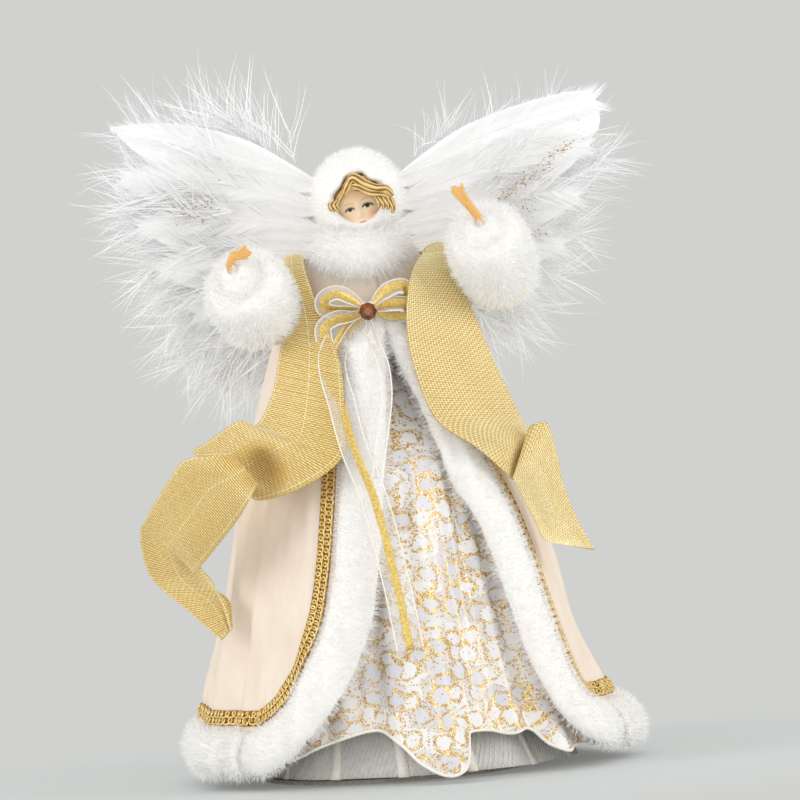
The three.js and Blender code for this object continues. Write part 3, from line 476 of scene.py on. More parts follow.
# An amber sheet behind the open weave, half see-through. It is painted shade: the holes between threads
# show darker amber
weave_hole_shade = mottled("amber ribbon ground", "E6C05C", "D0A646", 1.4, bump=0.1, Roughness=0.6, Alpha=0.7)
# Glitter strewn on the wings: tiny flakes, each a different gold or brown
glitter, tree, shader = new_finish("gold glitter", Metallic=0.2, Roughness=0.38)
place = put(tree, "ShaderNodeTexCoord").outputs["Object"]
flakes = put(tree, "ShaderNodeTexVoronoi", {"Vector": place, "Scale": 1 / (0.45 * MM)})
sparkle = put(tree, "ShaderNodeSeparateColor", {"Color": flakes.outputs["Color"]})
ramp = put(tree, "ShaderNodeValToRGB", {"Fac": sparkle})
stops(ramp, (0, "7A5220"), (1, "F2DC9C"), (0.45, "A9803A"), (0.8, "CDA650"))
tree.links.new(ramp.outputs[0], shader.inputs["Base Color"])
# Gimp: the same film coiled round a fat core, so it is duller and its shade is deeper
gimp = mottled("gold gimp braid", "FFF0B0", "D8A540", 1.0, bump=0.2, detail=2.0,
               Metallic=0.5, Roughness=0.34)
# A dark band under the gimp's loops: painted shade between them
gimp_loop_shade = mottled("brown gimp ground", "B5863A", "7E541A", 0.9, bump=0.1,
                      Roughness=0.7, Specular_IOR_Level=0.2)

# %% Hard pieces
# Amber acrylic: cut and polished, so it is a dark brown except where a facet turns to the light
amber = mottled("amber acrylic", "A85A14", "2A1002", 1.6, Roughness=0.1, Coat_Weight=0.3, IOR=1.49)
# Painted resin: a satin flesh paint with the features painted on, kept as a colour on the mesh. On the
# hands that colour also carries a painted shade where they face down
flesh, tree, shader = new_finish("painted resin", Roughness=0.5, Specular_IOR_Level=0.35)
from_mesh(tree, shader, "paint")
# Painted hair: golden brown, with painted shade in the grooves and a painted highlight on the ridges
hair_paint, tree, shader = new_finish("painted hair", Roughness=0.5, Specular_IOR_Level=0.35)
from_mesh(tree, shader, "paint")
# Grey board for the cone, white card for the wings, foam for the bust, and the plain peg and wires
card = mottled("grey board", "D8D1C2", "B9B09E", 1.5, bump=0.15, stretch=(1, 1, 0.3),
               Roughness=0.9, Specular_IOR_Level=0.2)
white_card = mottled("white card", "FAFAF8", "ECEBE8", 2.0, bump=0.1,
                     Roughness=0.8, Specular_IOR_Level=0.25)
foam = mottled("moulded foam", "F5EFE4", "E2D8C8", 1.2, bump=0.4, Roughness=0.95, Specular_IOR_Level=0.1)
dowel = mottled("birch dowel", "D9BE92", "B8935F", 1.0, bump=0.05, stretch=(1, 1, 0.1), Roughness=0.6)
wire = mottled("galvanised wire", "B5B1AA", "84807A", 1.0, bump=0.03, stretch=(1, 1, 0.2),
               Metallic=1.0, Roughness=0.35)

for node, finish in {
    "support_cone": card, "bust": foam, "wing_bridge": foam, "neck_peg": dowel,
    "arm_wire_left": wire, "arm_wire_right": wire, "wing_wire_left": wire, "wing_wire_right": wire,
    "wing_backing_left": white_card, "wing_backing_right": white_card,
}.items():
    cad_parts[node].data.materials.clear()
    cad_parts[node].data.materials.append(finish)
print(len(bpy.data.materials), "finishes")

# %% [markdown]
# ## Four node trees that do the repeating work
# Fur stands on a surface, down grows from a shaft, threads follow a cloth, and flakes lie at loose points.
# Each of these is one Geometry Nodes tree with its sizes as inputs. Threads are drawn as a flat mesh first,
# and then every point of them is looked up on the draped cloth through the cloth's UV map.

# %% A strand and a barb: narrow bent blades of unit length, with how far along they are kept on the mesh


def blade(name, width, bend, segments):
    """A blade from 0 to 1 in Z, which narrows to a point and bends towards +Y."""
    levels = np.linspace(0, 1, segments + 1)
    points, faces = [], []
    for t in levels[:-1]:
        half = width * (1 - t) ** 0.7 / 2
        points += [(-half, bend * t * t, t), (half, bend * t * t, t)]
    points.append((0, bend, 1))
    for k in range(segments - 1):
        faces.append((2 * k, 2 * k + 1, 2 * k + 3, 2 * k + 2))
    faces.append((2 * segments - 2, 2 * segments - 1, 2 * segments))
    made = new_piece(name, [[x / MM for x in p] for p in points], faces)
    along = made.data.attributes.new("along", "FLOAT", "POINT")
    along.data.foreach_set("value", [p[2] for p in points])
    return made


strand = blade("strand", 0.06, 0.3, 3)
barb = blade("barb", 0.021, 0.3, 5)
vane_barb = blade("vane_barb", 0.05, 0.08, 2)

# %% Fur on a surface: strands stand on every face that isn't pressed against what carries it
FULL_TURN = 6.283
FUR_TUFTS_PER_METRE, DOWN_TUFTS_PER_METRE = 260.0, 320.0
fur_tree, given, end = new_tree("fur pile", Strand="Object", Carrier="Object", Clear="Float", Density="Float",
                                Length="Float", Clump="Float", Comb="Vector", Seed="Int", Finish="Material")
scatter = put(fur_tree, "GeometryNodeDistributePointsOnFaces",
              {"Mesh": given["Geometry"], "Density": given["Density"], "Seed": given["Seed"]})
carrier = put(fur_tree, "GeometryNodeObjectInfo", {"Object": given["Carrier"]}, transform_space="RELATIVE")
near = put(fur_tree, "GeometryNodeProximity", {0: carrier.outputs["Geometry"]}, target_element="FACES")
pressed = put(fur_tree, "FunctionNodeCompare", {0: near.outputs["Distance"], 1: given["Clear"]},
              data_type="FLOAT", operation="LESS_THAN")
roots = put(fur_tree, "GeometryNodeDeleteGeometry",
            {"Geometry": scatter.outputs["Points"], "Selection": pressed}, domain="POINT")
place = put(fur_tree, "GeometryNodeInputPosition")
tuft = put(fur_tree, "ShaderNodeTexNoise", {"Vector": place, "Scale": FUR_TUFTS_PER_METRE, "Detail": 2.0})
centred = put(fur_tree, "ShaderNodeVectorMath", {0: tuft.outputs["Color"], 1: (0.5, 0.5, 0.5)},
              operation="SUBTRACT")
pulled = put(fur_tree, "ShaderNodeVectorMath", {0: centred, "Scale": given["Clump"]}, operation="SCALE")
loose = put(fur_tree, "FunctionNodeRandomValue",
            {0: (-0.3, -0.3, -0.3), 1: (0.3, 0.3, 0.3), "Seed": given["Seed"]}, data_type="FLOAT_VECTOR")
lean = scatter.outputs["Normal"]
for pull in (pulled.outputs[0], loose.outputs[0], given["Comb"]):
    lean = put(fur_tree, "ShaderNodeVectorMath", {0: lean, 1: pull}, operation="ADD").outputs[0]
facing = put(fur_tree, "FunctionNodeAlignRotationToVector", {"Vector": lean}, axis="Z")
spin = put(fur_tree, "FunctionNodeRandomValue", {2: 0.0, 3: FULL_TURN, "Seed": 3}, data_type="FLOAT")
twist = put(fur_tree, "FunctionNodeAxisAngleToRotation", {"Axis": (0, 0, 1), "Angle": spin.outputs[1]})
stance = put(fur_tree, "FunctionNodeRotateRotation",
             {"Rotation": facing, "Rotate By": twist}, rotation_space="LOCAL")
share = put(fur_tree, "FunctionNodeRandomValue", {2: 0.55, 3: 1.1, "Seed": 5}, data_type="FLOAT")
length = put(fur_tree, "ShaderNodeMath", {0: share.outputs[1], 1: given["Length"]}, operation="MULTIPLY")
hair_mesh = put(fur_tree, "GeometryNodeObjectInfo", {"Object": given["Strand"]})
pile = put(fur_tree, "GeometryNodeInstanceOnPoints",
           {"Points": roots, "Instance": hair_mesh.outputs["Geometry"],
            "Rotation": stance, "Scale": length})
end(pile.outputs[0])

# %% Down on a shaft: barbs leave a line on both sides, as long as the line's own "reach" says
down_tree, given, end = new_tree("barbs on a shaft", Barb="Object", Spacing="Float", Angle="Float",
                                 Fluff="Float", Clump="Float", Lift="Float", Shaft="Float", Finish="Material")
line = put(down_tree, "GeometryNodeMeshToCurve", {"Mesh": given["Geometry"]})
even = put(down_tree, "GeometryNodeResampleCurve",
           {"Curve": line, "Length": given["Spacing"]}, mode="LENGTH")
tangent = put(down_tree, "GeometryNodeInputTangent")
reach = put(down_tree, "GeometryNodeInputNamedAttribute", {"Name": "reach"}, data_type="FLOAT")
place = put(down_tree, "GeometryNodeInputPosition")
tuft = put(down_tree, "ShaderNodeTexNoise", {"Vector": place, "Scale": DOWN_TUFTS_PER_METRE, "Detail": 1.0})
centred = put(down_tree, "ShaderNodeVectorMath", {0: tuft.outputs["Color"], 1: (0.5, 0.5, 0.5)},
              operation="SUBTRACT")
pulled = put(down_tree, "ShaderNodeVectorMath", {0: centred, "Scale": given["Clump"]}, operation="SCALE")
sides = put(down_tree, "GeometryNodeJoinGeometry")
for way in (-1, 1):
    beside = put(down_tree, "ShaderNodeVectorMath", {0: tangent, 1: (0, way, 0)}, operation="CROSS_PRODUCT")
    cosine = put(down_tree, "ShaderNodeMath", {0: given["Angle"]}, operation="COSINE")
    sine = put(down_tree, "ShaderNodeMath", {0: given["Angle"]}, operation="SINE")
    forth = put(down_tree, "ShaderNodeVectorMath", {0: tangent, "Scale": cosine}, operation="SCALE")
    out = put(down_tree, "ShaderNodeVectorMath", {0: beside, "Scale": sine}, operation="SCALE")
    loose = put(down_tree, "FunctionNodeRandomValue", {0: (-1, -1, -1), 1: (1, 1, 1), "Seed": 11 + way},
                data_type="FLOAT_VECTOR")
    strewn = put(down_tree, "ShaderNodeVectorMath", {0: loose, "Scale": given["Fluff"]}, operation="SCALE")
    lean = forth.outputs[0]
    for pull in (out.outputs[0], strewn.outputs[0], pulled.outputs[0]):
        lean = put(down_tree, "ShaderNodeVectorMath", {0: lean, 1: pull}, operation="ADD").outputs[0]
    facing = put(down_tree, "FunctionNodeAlignRotationToVector", {"Vector": lean}, axis="Z")
    flat = put(down_tree, "FunctionNodeAlignRotationToVector",
               {"Rotation": facing, "Vector": (0, -1, 0)}, axis="Y", pivot_axis="Z")
    spin = put(down_tree, "FunctionNodeRandomValue", {2: -1.0, 3: 1.0, "Seed": 21 + way}, data_type="FLOAT")
    turned = put(down_tree, "ShaderNodeMath", {0: spin.outputs[1], 1: given["Lift"]}, operation="MULTIPLY")
    twist = put(down_tree, "FunctionNodeAxisAngleToRotation", {"Axis": (0, 0, 1), "Angle": turned})
    stance = put(down_tree, "FunctionNodeRotateRotation",
                 {"Rotation": flat, "Rotate By": twist}, rotation_space="LOCAL")
    share = put(down_tree, "FunctionNodeRandomValue", {2: 0.72, 3: 1.08, "Seed": 31 + way},
                data_type="FLOAT")
    length = put(down_tree, "ShaderNodeMath", {0: share.outputs[1], 1: reach}, operation="MULTIPLY")
    barb_mesh = put(down_tree, "GeometryNodeObjectInfo", {"Object": given["Barb"]})
    row = put(down_tree, "GeometryNodeInstanceOnPoints",
              {"Points": even, "Instance": barb_mesh.outputs["Geometry"],
               "Rotation": stance, "Scale": length})
    down_tree.links.new(row.outputs[0], sides.inputs[0])
ring = put(down_tree, "GeometryNodeCurvePrimitiveCircle", {"Resolution": 5, "Radius": given["Shaft"]})
shaft = put(down_tree, "GeometryNodeCurveToMesh", {"Curve": even, "Profile Curve": ring, "Fill Caps": True})
down_tree.links.new(shaft.outputs[0], sides.inputs[0])
end(sides.outputs[0])

# %% Flat work on a cloth: x and y are shares of the cloth's width and length, and z is a height in metres


def sew(tree, given, geometry):
    """Moves every point of flat work to its place on the draped cloth."""
    cloth = put(tree, "GeometryNodeObjectInfo", {"Object": given["Cloth"]}, transform_space="RELATIVE")
    chart = put(tree, "GeometryNodeInputNamedAttribute", {"Name": "flat"}, data_type="FLOAT_VECTOR")
    place = put(tree, "GeometryNodeInputPosition")
    parts = put(tree, "ShaderNodeSeparateXYZ", {0: place})
    on_chart = put(tree, "ShaderNodeCombineXYZ", {0: parts, 1: parts.outputs[1]})
    found = []
    for field in ("GeometryNodeInputPosition", "GeometryNodeInputNormal"):
        value = put(tree, field)
        found.append(put(tree, "GeometryNodeSampleUVSurface",
                         {"Mesh": cloth.outputs["Geometry"], "Value": value, 2: chart,
                          3: on_chart}, data_type="FLOAT_VECTOR"))
    lift = put(tree, "ShaderNodeVectorMath", {0: found[1].outputs[0], "Scale": parts.outputs[2]},
               operation="SCALE")
    spot = put(tree, "ShaderNodeVectorMath", {0: found[0].outputs[0], 1: lift}, operation="ADD")
    return put(tree, "GeometryNodeSetPosition", {"Geometry": geometry, "Position": spot})


thread_tree, given, end = new_tree("threads on a cloth", Cloth="Object", Radius="Float", Sides="Int",
                                   Finish="Material")
laid = sew(thread_tree, given, given["Geometry"])
line = put(thread_tree, "GeometryNodeMeshToCurve", {"Mesh": laid})
ring = put(thread_tree, "GeometryNodeCurvePrimitiveCircle",
           {"Resolution": given["Sides"], "Radius": given["Radius"]})
tube = put(thread_tree, "GeometryNodeCurveToMesh",
           {"Curve": line, "Profile Curve": ring, "Fill Caps": True})
end(tube.outputs[0])

# %% Glitter: a flake at every point of a cloud, each turned its own way
flake_tree, given, end = new_tree("glitter flakes", Flake="Object", Size="Float", Finish="Material")
spots = put(flake_tree, "GeometryNodeMeshToPoints", {"Mesh": given["Geometry"]})
turned = put(flake_tree, "FunctionNodeRandomValue", {0: (-1, -1, -1), 1: (1, 1, 1), "Seed": 4},
             data_type="FLOAT_VECTOR")
share = put(flake_tree, "FunctionNodeRandomValue", {2: 0.5, 3: 1.2, "Seed": 6}, data_type="FLOAT")
size = put(flake_tree, "ShaderNodeMath", {0: share.outputs[1], 1: given["Size"]}, operation="MULTIPLY")
flake_mesh = put(flake_tree, "GeometryNodeObjectInfo", {"Object": given["Flake"]})
strewn = put(flake_tree, "GeometryNodeInstanceOnPoints",
             {"Points": spots, "Instance": flake_mesh.outputs["Geometry"],
              "Rotation": turned, "Scale": size})
end(strewn.outputs[0])

print("node trees:", [tree.name for tree in bpy.data.node_groups])

# %% [markdown]
# ## The robe
# The coat is one piece of velour, gathered at the neck and open down the front. It could be a cloth
# simulation, but the fur, the braid and the gown all have to lie along it, so its surface is a rule: a girth
# for each height, a flatter chest and back, and folds that deepen towards the hem. The rest asks that rule.

# %% The surface that the coat hangs in, in millimetres and degrees from the middle of the opening
HEM, WAIST, NECK, OPENING_TOP = 8, 180, 222, 184
ROBE_STATIONS = [(8, 90), (56, 77), (116, 62), (180, 42), (205, 32), (215, 29), (222, 20)]
FRONT_DEPTH = [(116, 1), (180, 0.86), (205, 0.8), (222, 0.85)]
BACK_DEPTH = [(56, 1), (116, 0.92), (180, 0.62), (205, 0.6), (222, 0.8)]
EDGE_LEFT = [(3, 1), (6.5, 0.88), (9.8, 0.76), (13.1, 0.638), (18.2, 0.45), (22.4, 0.335), (28.3, 0.24),
             (35.5, 0.152), (45.3, 0.065), (55, 0.018), (62, 0), (66, 0)]
EDGE_RIGHT = [(3, 1), (8, 0.93), (14, 0.84), (20.8, 0.67), (27, 0.568), (30, 0.46), (31, 0.36), (32, 0.25),
              (34, 0.16), (38, 0.085), (45, 0.035), (54, 0.008), (61, 0), (66, 0)]
HEM_JOIN = 66
ROBE_TURN = 12
HEM_SWAY = 8
ROBE_WALL = 1.2
HEM_FULLNESS = [(-104, 38, 26, 24, 4.5), (78, 58, 16, 22, -3.5)]


def robe_radius(z):
    """The coat's reach at a height."""
    return profile(ROBE_STATIONS, z)


def below_waist(z):
    """0 at the waist, and 1 at the hem."""
    return min(1, max(0, (WAIST - z) / (WAIST - HEM)))


def robe_sway(z):
    """How far the coat leans aside at a height."""
    return HEM_SWAY * below_waist(z) ** 1.5


def robe_fold(angle, z):
    """Nine broad folds, and narrow creases between them that run up towards the waist."""
    a = math.radians(angle)
    deep = below_waist(z) ** 1.2
    crease = max(0, math.cos(16 * a + 0.9 + 0.5 * math.sin(z / 30))) ** 3
    pleat = math.cos(27 * a + 0.4 + 0.4 * math.sin(z / 22))
    pleat += 1.3 * math.cos(43 * a + 0.6 * math.sin(z / 35))
    around = (angle + 180) % 360 - 180
    full = 0.0
    for at, height, wide, tall, out in HEM_FULLNESS:
        full += out * math.exp(-((around - at) / wide) ** 2 - ((z - height) / tall) ** 2)
    waves = 2.3 * math.cos(9 * a) + 0.5 * math.cos(4 * a + 1)
    return full + deep * waves - (1.9 * crease - 0.42 * pleat) * deep ** 0.5


def skin_point(angle, z, lift=0.0):
    """A point of the coat, or a little above it."""
    w = math.radians(angle + ROBE_TURN)
    girth = robe_radius(z) + robe_fold(angle, z)
    depth = profile(FRONT_DEPTH if math.cos(w) > 0 else BACK_DEPTH, z)
    return (robe_sway(z) + (girth + lift) * math.sin(w), -(girth * depth + lift) * math.cos(w), z)


def skin_front(x, z):
    """How far forward the coat stands at a place seen from the front."""
    reach = robe_radius(z) + 2.6 * below_waist(z)
    share = min(1, abs(x - robe_sway(z)) / reach)
    return -reach * profile(FRONT_DEPTH, z) * math.sqrt(1 - share * share)


# %% The coat's edge: down the front opening, and then round the hem


def edge_height(angle):
    """The height of the coat's edge: the front opening first, and then the hem."""
    return lerp(HEM, OPENING_TOP, profile(EDGE_LEFT if angle < 0 else EDGE_RIGHT, abs(angle)))


def trim_point(angle, inward, lift):
    """A point on the coat at a distance from its edge, measured square to the edge."""
    step = math.copysign(0.1, angle)
    z = edge_height(angle)
    run = math.radians(2 * abs(step)) * robe_radius(z)
    fall = edge_height(angle - step) - edge_height(angle + step)
    length = math.hypot(run, fall)
    moved = abs(angle) + math.degrees(inward * fall / length / robe_radius(z))
    return skin_point(math.copysign(moved, angle), z + inward * run / length, lift)


def edge_angles(side, count, start=3.0, end=HEM_JOIN):
    """Angles evenly spaced along one front edge, which falls steeply in places."""
    fine = np.linspace(start, end, 1600)
    places = [np.array(skin_point(side * a, edge_height(side * a))) for a in fine]
    run = run_of(places)
    return [side * a for a in np.interp(np.linspace(0, run[-1], count), run, fine)]


def one_turn(angle):
    """The same angle between -180 and 180."""
    return angle if angle <= 180 else angle - 360


# %% The coat: a fine grid from its edge to its neck, with a wall
MIDDLE_GAP = 0.02
robe_columns = edge_angles(1, 100, start=MIDDLE_GAP)
robe_columns += list(np.linspace(HEM_JOIN, 360 - HEM_JOIN, 153))[1:-1]
robe_columns += [360 + a for a in edge_angles(-1, 100, start=MIDDLE_GAP)[::-1]]
robe = grid_piece("robe_cloth", robe_columns, np.linspace(0, 1, 61),
                  lambda angle, v: skin_point(angle, lerp(edge_height(one_turn(angle)), NECK, v)), velour)
thicken(robe, ROBE_WALL)

# %% The arms, in millimetres: where each hangs, its cuff and hand, and how far it swings, in degrees
LEFT_ARM = {"shoulder": (-27, -1, 208), "cuff": (-48.6, -38, 209.3), "mouth": (-0.3, -0.72, 0.62),
            "radius": 19, "length": 26,
            "hand": [(-55.8, -49, 223), (-54, -49.6, 227.2), (-46.5, -49.6, 227.7)],
            "thumb": (-48.6, -49.6, 231), "swing": -40}
RIGHT_ARM = {"shoulder": (27, -1, 208), "cuff": (54.5, -34, 221), "mouth": (-0.2, -0.72, 0.66),
             "radius": 18, "length": 33,
             "hand": [(51, -45, 234.5), (46, -46, 242.5), (40.3, -46, 250)],
             "thumb": (44.2, -46, 251), "swing": 40}


def sleeve_line(arm):
    """The middle of a sleeve, from the shoulder into the cuff."""
    centre = np.array(arm["cuff"])
    mouth = unit(arm["mouth"])
    half = arm["length"] / 2
    in_cuff = [centre + mouth * t for t in (-9 - half, -half, -half / 3, 1)]
    return route([np.array(arm["shoulder"])] + in_cuff, 36)


# %% Armholes: room for each sleeve through its whole swing is cut out of the coat
ARMHOLE_RADIUS, SWING_STEPS = 11.2, 4


def hull_piece(name, points):
    """The tight convex skin round a cloud of points."""
    piece = new_piece(name, points)
    form = bmesh.new()
    form.from_mesh(piece.data)
    made = bmesh.ops.convex_hull(form, input=form.verts)
    inside = [v for v in made["geom_interior"] if isinstance(v, bmesh.types.BMVert)]
    bmesh.ops.delete(form, geom=inside, context="VERTS")
    bmesh.ops.recalc_face_normals(form, faces=form.faces)
    form.to_mesh(piece.data)
    form.free()
    return piece


for arm in (LEFT_ARM, RIGHT_ARM):
    hinge = np.array(arm["shoulder"], float)
    swept = []
    for step in range(SWING_STEPS + 1):
        a = math.radians(arm["swing"] * step / SWING_STEPS)
        spin = np.array([[math.cos(a), -math.sin(a), 0], [math.sin(a), math.cos(a), 0], [0, 0, 1]])
        for ring in tube_points(sleeve_line(arm)[:16], ARMHOLE_RADIUS, 10):
            swept += [hinge + spin @ (p - hinge) for p in ring]
    room = hull_piece("armhole", swept)
    cut = robe.modifiers.new("armhole", "BOOLEAN")
    cut.object = room
    cut.solver = "EXACT"
    settle(robe)
    drop(room)
wear(robe, "figure", "velvet", "robe")

# %% [markdown]
# ## The sleeves
# Each sleeve is a soft tube over a bent wire. It swells above the cuff, where the cloth bags, and shows rings
# of creases. A tube along the arm's line with a girth for each place gives that.

# %% Sleeves
SLEEVE_SIDES = 40
SLEEVE_TOP = [(0.85, 2.2), (0.5, 4.5)]

for side, arm in (("left", LEFT_ARM), ("right", RIGHT_ARM)):
    line = sleeve_line(arm)
    reach = run_of(line)[-1]
    end = 1 - (arm["length"] / 2 + 12) / reach
    girth = [(0, 8.6), (0.6 * end, 9.6), (end, 8.4), (1, 8.2)]
    rings = tube_points(line, lambda t: profile(girth, t) * (1 + 0.035 * math.sin(34 * t)), SLEEVE_SIDES)
    for k, ring in enumerate(rings):
        for i, p in enumerate(ring):
            ripple = 0.25 * math.sin(k * 0.9 + 2 * math.sin(i * 2 * math.pi / SLEEVE_SIDES))
            ring[i] = p + unit(p - line[k]) * ripple
    first = rings[0]
    for share, back in SLEEVE_TOP:
        rings.insert(0, [line[0] + (p - line[0]) * share - (line[1] - line[0]) * back for p in first])
    sleeve = rings_piece(f"sleeve_{side}_cloth", rings, velour)
    wear(sleeve, f"{side}_arm", "velvet", f"sleeve_{side}")
    print(sleeve.name, "length", round(reach, 1), "mm")

# %% [markdown]
# ## The gown and the petticoat
# Under the coat hangs a satin gown, printed with gold rings, its hem wired so that it stands in flutes.
# A stiff net petticoat fills it out and shows below the hem. The flutes are drawn as a list of hem heights
# round the figure: where the hem is low the cloth rolls outwards, and where it is high it is drawn in.

# %% The gown
GOWN_TOP = 174
GOWN_HEM = [(-180, 8), (-150, 12), (-120, 6), (-95, 12), (-70, 7), (-52, 9), (-40, 12.4), (-26, 19),
            (-12, 23), (-4, 17), (2, 8), (9.7, 2.6), (14, 5.5), (16, 11), (18.4, 20), (26, 19.5), (34.4, 17),
            (40, 18.5), (42.5, 17.5), (45, 11), (49.8, 7.5), (57, 9), (75, 7), (100, 12), (125, 6), (150, 12),
            (180, 8)]
GOWN_GIRTH, GOWN_FLARE = 26, 0.72
GOWN_CLEAR = 2.4
GOWN_DEPTH = [(135, 1), (174, 0.9)]


def gown_point(world, v):
    """A point of the gown: the angle is from straight ahead, and v runs from the hem to the waist."""
    low = profile(GOWN_HEM, world)
    z = lerp(low, GOWN_TOP, v)
    drawn = min(1, max(0, (low - 2) / 18))
    hang = GOWN_GIRTH + GOWN_FLARE * (GOWN_TOP - z)
    room = robe_radius(z) + robe_fold(world - ROBE_TURN, z) - ROBE_WALL - GOWN_CLEAR
    roll = 2.2 * smooth_step(0.3, 0.0, drawn) * smooth_step(30, 4, z)
    a = math.radians(world)
    pleat = (0.9 * math.cos(21 * a + 0.7) + 0.6 * math.cos(34 * a + 2)) * below_waist(z) ** 1.2
    girth = min(room, hang) - 7 * drawn * below_waist(z) ** 1.5 + roll + pleat - 1.2
    depth = profile(GOWN_DEPTH, z)
    if math.cos(a) < 0:
        depth = min(depth, profile(BACK_DEPTH, z))
    return (robe_sway(z) + girth * math.sin(a), -girth * depth * math.cos(a), z)


GOWN_ACROSS, GOWN_UP = 361, 90
gown = grid_piece("gown_cloth", np.linspace(-180, 180, GOWN_ACROSS)[:-1], np.linspace(0, 1, GOWN_UP),
                  gown_point, printed, closed=True)

# %% The print follows the cloth as it was cut, so each point keeps its place on the flat cone in millimetres
CONE_SLOPE, CONE_TIP = math.atan2(66, 170), 228
chart = []
for v in gown.data.vertices:
    x, y, z = v.co / MM
    x -= robe_sway(z)
    slant = (CONE_TIP - z) / math.cos(CONE_SLOPE)
    spread = math.atan2(x, -y) * math.sin(CONE_SLOPE)
    chart += [slant * math.sin(spread), slant * math.cos(spread), 0]
gown.data.attributes.new("print", "FLOAT_VECTOR", "POINT").data.foreach_set("vector", chart)

# %% The rolled hem
HEM_STEPS = 360
hem_line = [(k / HEM_STEPS / MM, 0.004 / MM, 0.1) for k in range(HEM_STEPS)]
hem_edges = [(k, (k + 1) % HEM_STEPS) for k in range(HEM_STEPS)]
gown_hem = grow(new_piece("gown_hem", hem_line, edges=hem_edges), thread_tree,
                Cloth=gown, Radius=0.75 * MM, Sides=6, Finish=edge_cord)
thicken(gown, 0.5)
wear(gown, "figure", "satin", "gown")
wear(gown_hem, "figure", "satin")

# %% The petticoat: a haze of net with its threads laid over it
PETTICOAT_FOOT, PETTICOAT_TOP = 3.0, 120
PETTICOAT_GIRTH = 68
CONE_FOOT, CONE_HEAD, CONE_HIGH = 52, 14, 150


def petticoat_point(u, v):
    """A point of the petticoat: from nine flutes at its foot to the cone that carries it."""
    z = lerp(PETTICOAT_FOOT, PETTICOAT_TOP, v)
    girth = lerp(PETTICOAT_GIRTH, lerp(CONE_FOOT, CONE_HEAD, PETTICOAT_TOP / CONE_HIGH) + 0.4, v)
    a = 2 * math.pi * u
    girth += 1.4 * math.cos(9 * a) * (1 - v)
    return (robe_sway(z) * (1 - v) + girth * math.sin(a), -girth * math.cos(a), z)


petticoat = grid_piece("petticoat_haze", np.linspace(0, 1, 181)[:-1], np.linspace(0, 1, 25),
                       petticoat_point, net_film, closed=True)

# %% The threads of the net, which cross on the slant as far up as they can be seen
NET_THREADS, NET_STEPS, NET_HIGH, NET_SLANT = 190, 40, 0.42, 0.14
points, edges = [], []
for way in (-1, 1):
    for k in range(NET_THREADS):
        start = len(points)
        for j in range(NET_STEPS + 1):
            v = NET_HIGH * j / NET_STEPS
            points.append((((k / NET_THREADS + way * NET_SLANT * v) % 1) / MM, v / MM, 0.1 * way))
        edges += [(start + j, start + j + 1) for j in range(NET_STEPS)
                  if abs(points[start + j][0] - points[start + j + 1][0]) < 0.5 / MM]
net = grow(new_piece("petticoat_net", points, edges=edges), thread_tree, Cloth=petticoat,
           Radius=0.16 * MM, Sides=3, Finish=net_thread)

# %% Tapes sewn up the net, and the petticoat as a whole
TAPES, TAPE_TURN, TAPE_WIDTH, TAPE_RISE = 14, -4.7, 4.6, 40
tape_points, tape_faces = [], []
for k in range(TAPES):
    middle = k / TAPES + TAPE_TURN / 360
    half = TAPE_WIDTH / 2 / (2 * math.pi * PETTICOAT_GIRTH)
    for j in range(9):
        for u in (middle - half, middle + half):
            x, y, z = petticoat_point(u, j / 8 * TAPE_RISE / PETTICOAT_TOP)
            tape_points.append((x * 1.006, y * 1.006, z - 0.2))
        if j:
            last = len(tape_points)
            tape_faces.append((last - 4, last - 3, last - 1, last - 2))
tapes = thicken(new_piece("petticoat_tapes", tape_points, tape_faces, edge_cord), 0.3)
thicken(petticoat, 0.3)
wear(petticoat, "figure", "net", "petticoat")
wear(net, "figure", "net")
wear(tapes, "figure", "net")

# %% [markdown]
# ## Fur
# The trims, the cuffs, the collar and the hood are long-pile fur. On the doll each is a knitted band with
# pile standing on it, rolled round soft wadding. Here each one is a firm pad first, a little smaller than the
# finished piece, and the fur tree then plants its strands. A particle system could do that too, but the
# pieces have to end as plain meshes, and a node tree gives those directly.

# %% Pile on a pad
FUR_DENSITY, FUR_CLUMP = 2.4e6, 1.3
TUFT_HEIGHT, TUFT_SIZE = 0.55, 4.5


def tufted(pad):
    """Lifts a pad's surface in soft uneven tufts."""
    for v in pad.data.vertices:
        place = v.co / (TUFT_SIZE * MM)
        v.co += v.normal * (noise.noise(place) + 0.5 * noise.noise(place * 2.1)) * TUFT_HEIGHT * MM


def furry(pad, body, node, carrier, *, length, clear, seed, comb=(0, 0, 0), bald=None):
    """Plants strands on a pad, joins them to it, and puts the piece on its body."""
    tufted(pad)
    pile = new_piece(pad.name + "_pile", [])
    pile.data = pad.data.copy()
    if bald:
        form = bmesh.new()
        form.from_mesh(pile.data)
        bmesh.ops.delete(form, geom=[v for v in form.verts if bald(v.co / MM)], context="VERTS")
        form.to_mesh(pile.data)
        form.free()
    grow(pile, fur_tree, Strand=strand, Carrier=carrier, Clear=clear * MM, Density=FUR_DENSITY,
         Length=length * MM, Clump=FUR_CLUMP, Comb=comb, Seed=seed, Finish=fur)
    whole = join(pad.name.replace("_pad", "_fur"), [pad, pile])
    wear(whole, body, "fur", node)


# %% The bands along the coat's front edges and round its hem
PAD_WIDTH = 17.4
PAD_RISE = 4.2
EDGE_OVER, EDGE_UNDER, FUR_FOOT, FUR_ABOVE = 1.3, 1.1, 0.3, 11
ACROSS_BAND = np.linspace(0, 1, 12)


def crown_height(rise, v):
    """How high a band stands over the coat at a share of its width."""
    return FUR_FOOT + 0.5 + rise * math.sin(math.pi * v) ** 0.6


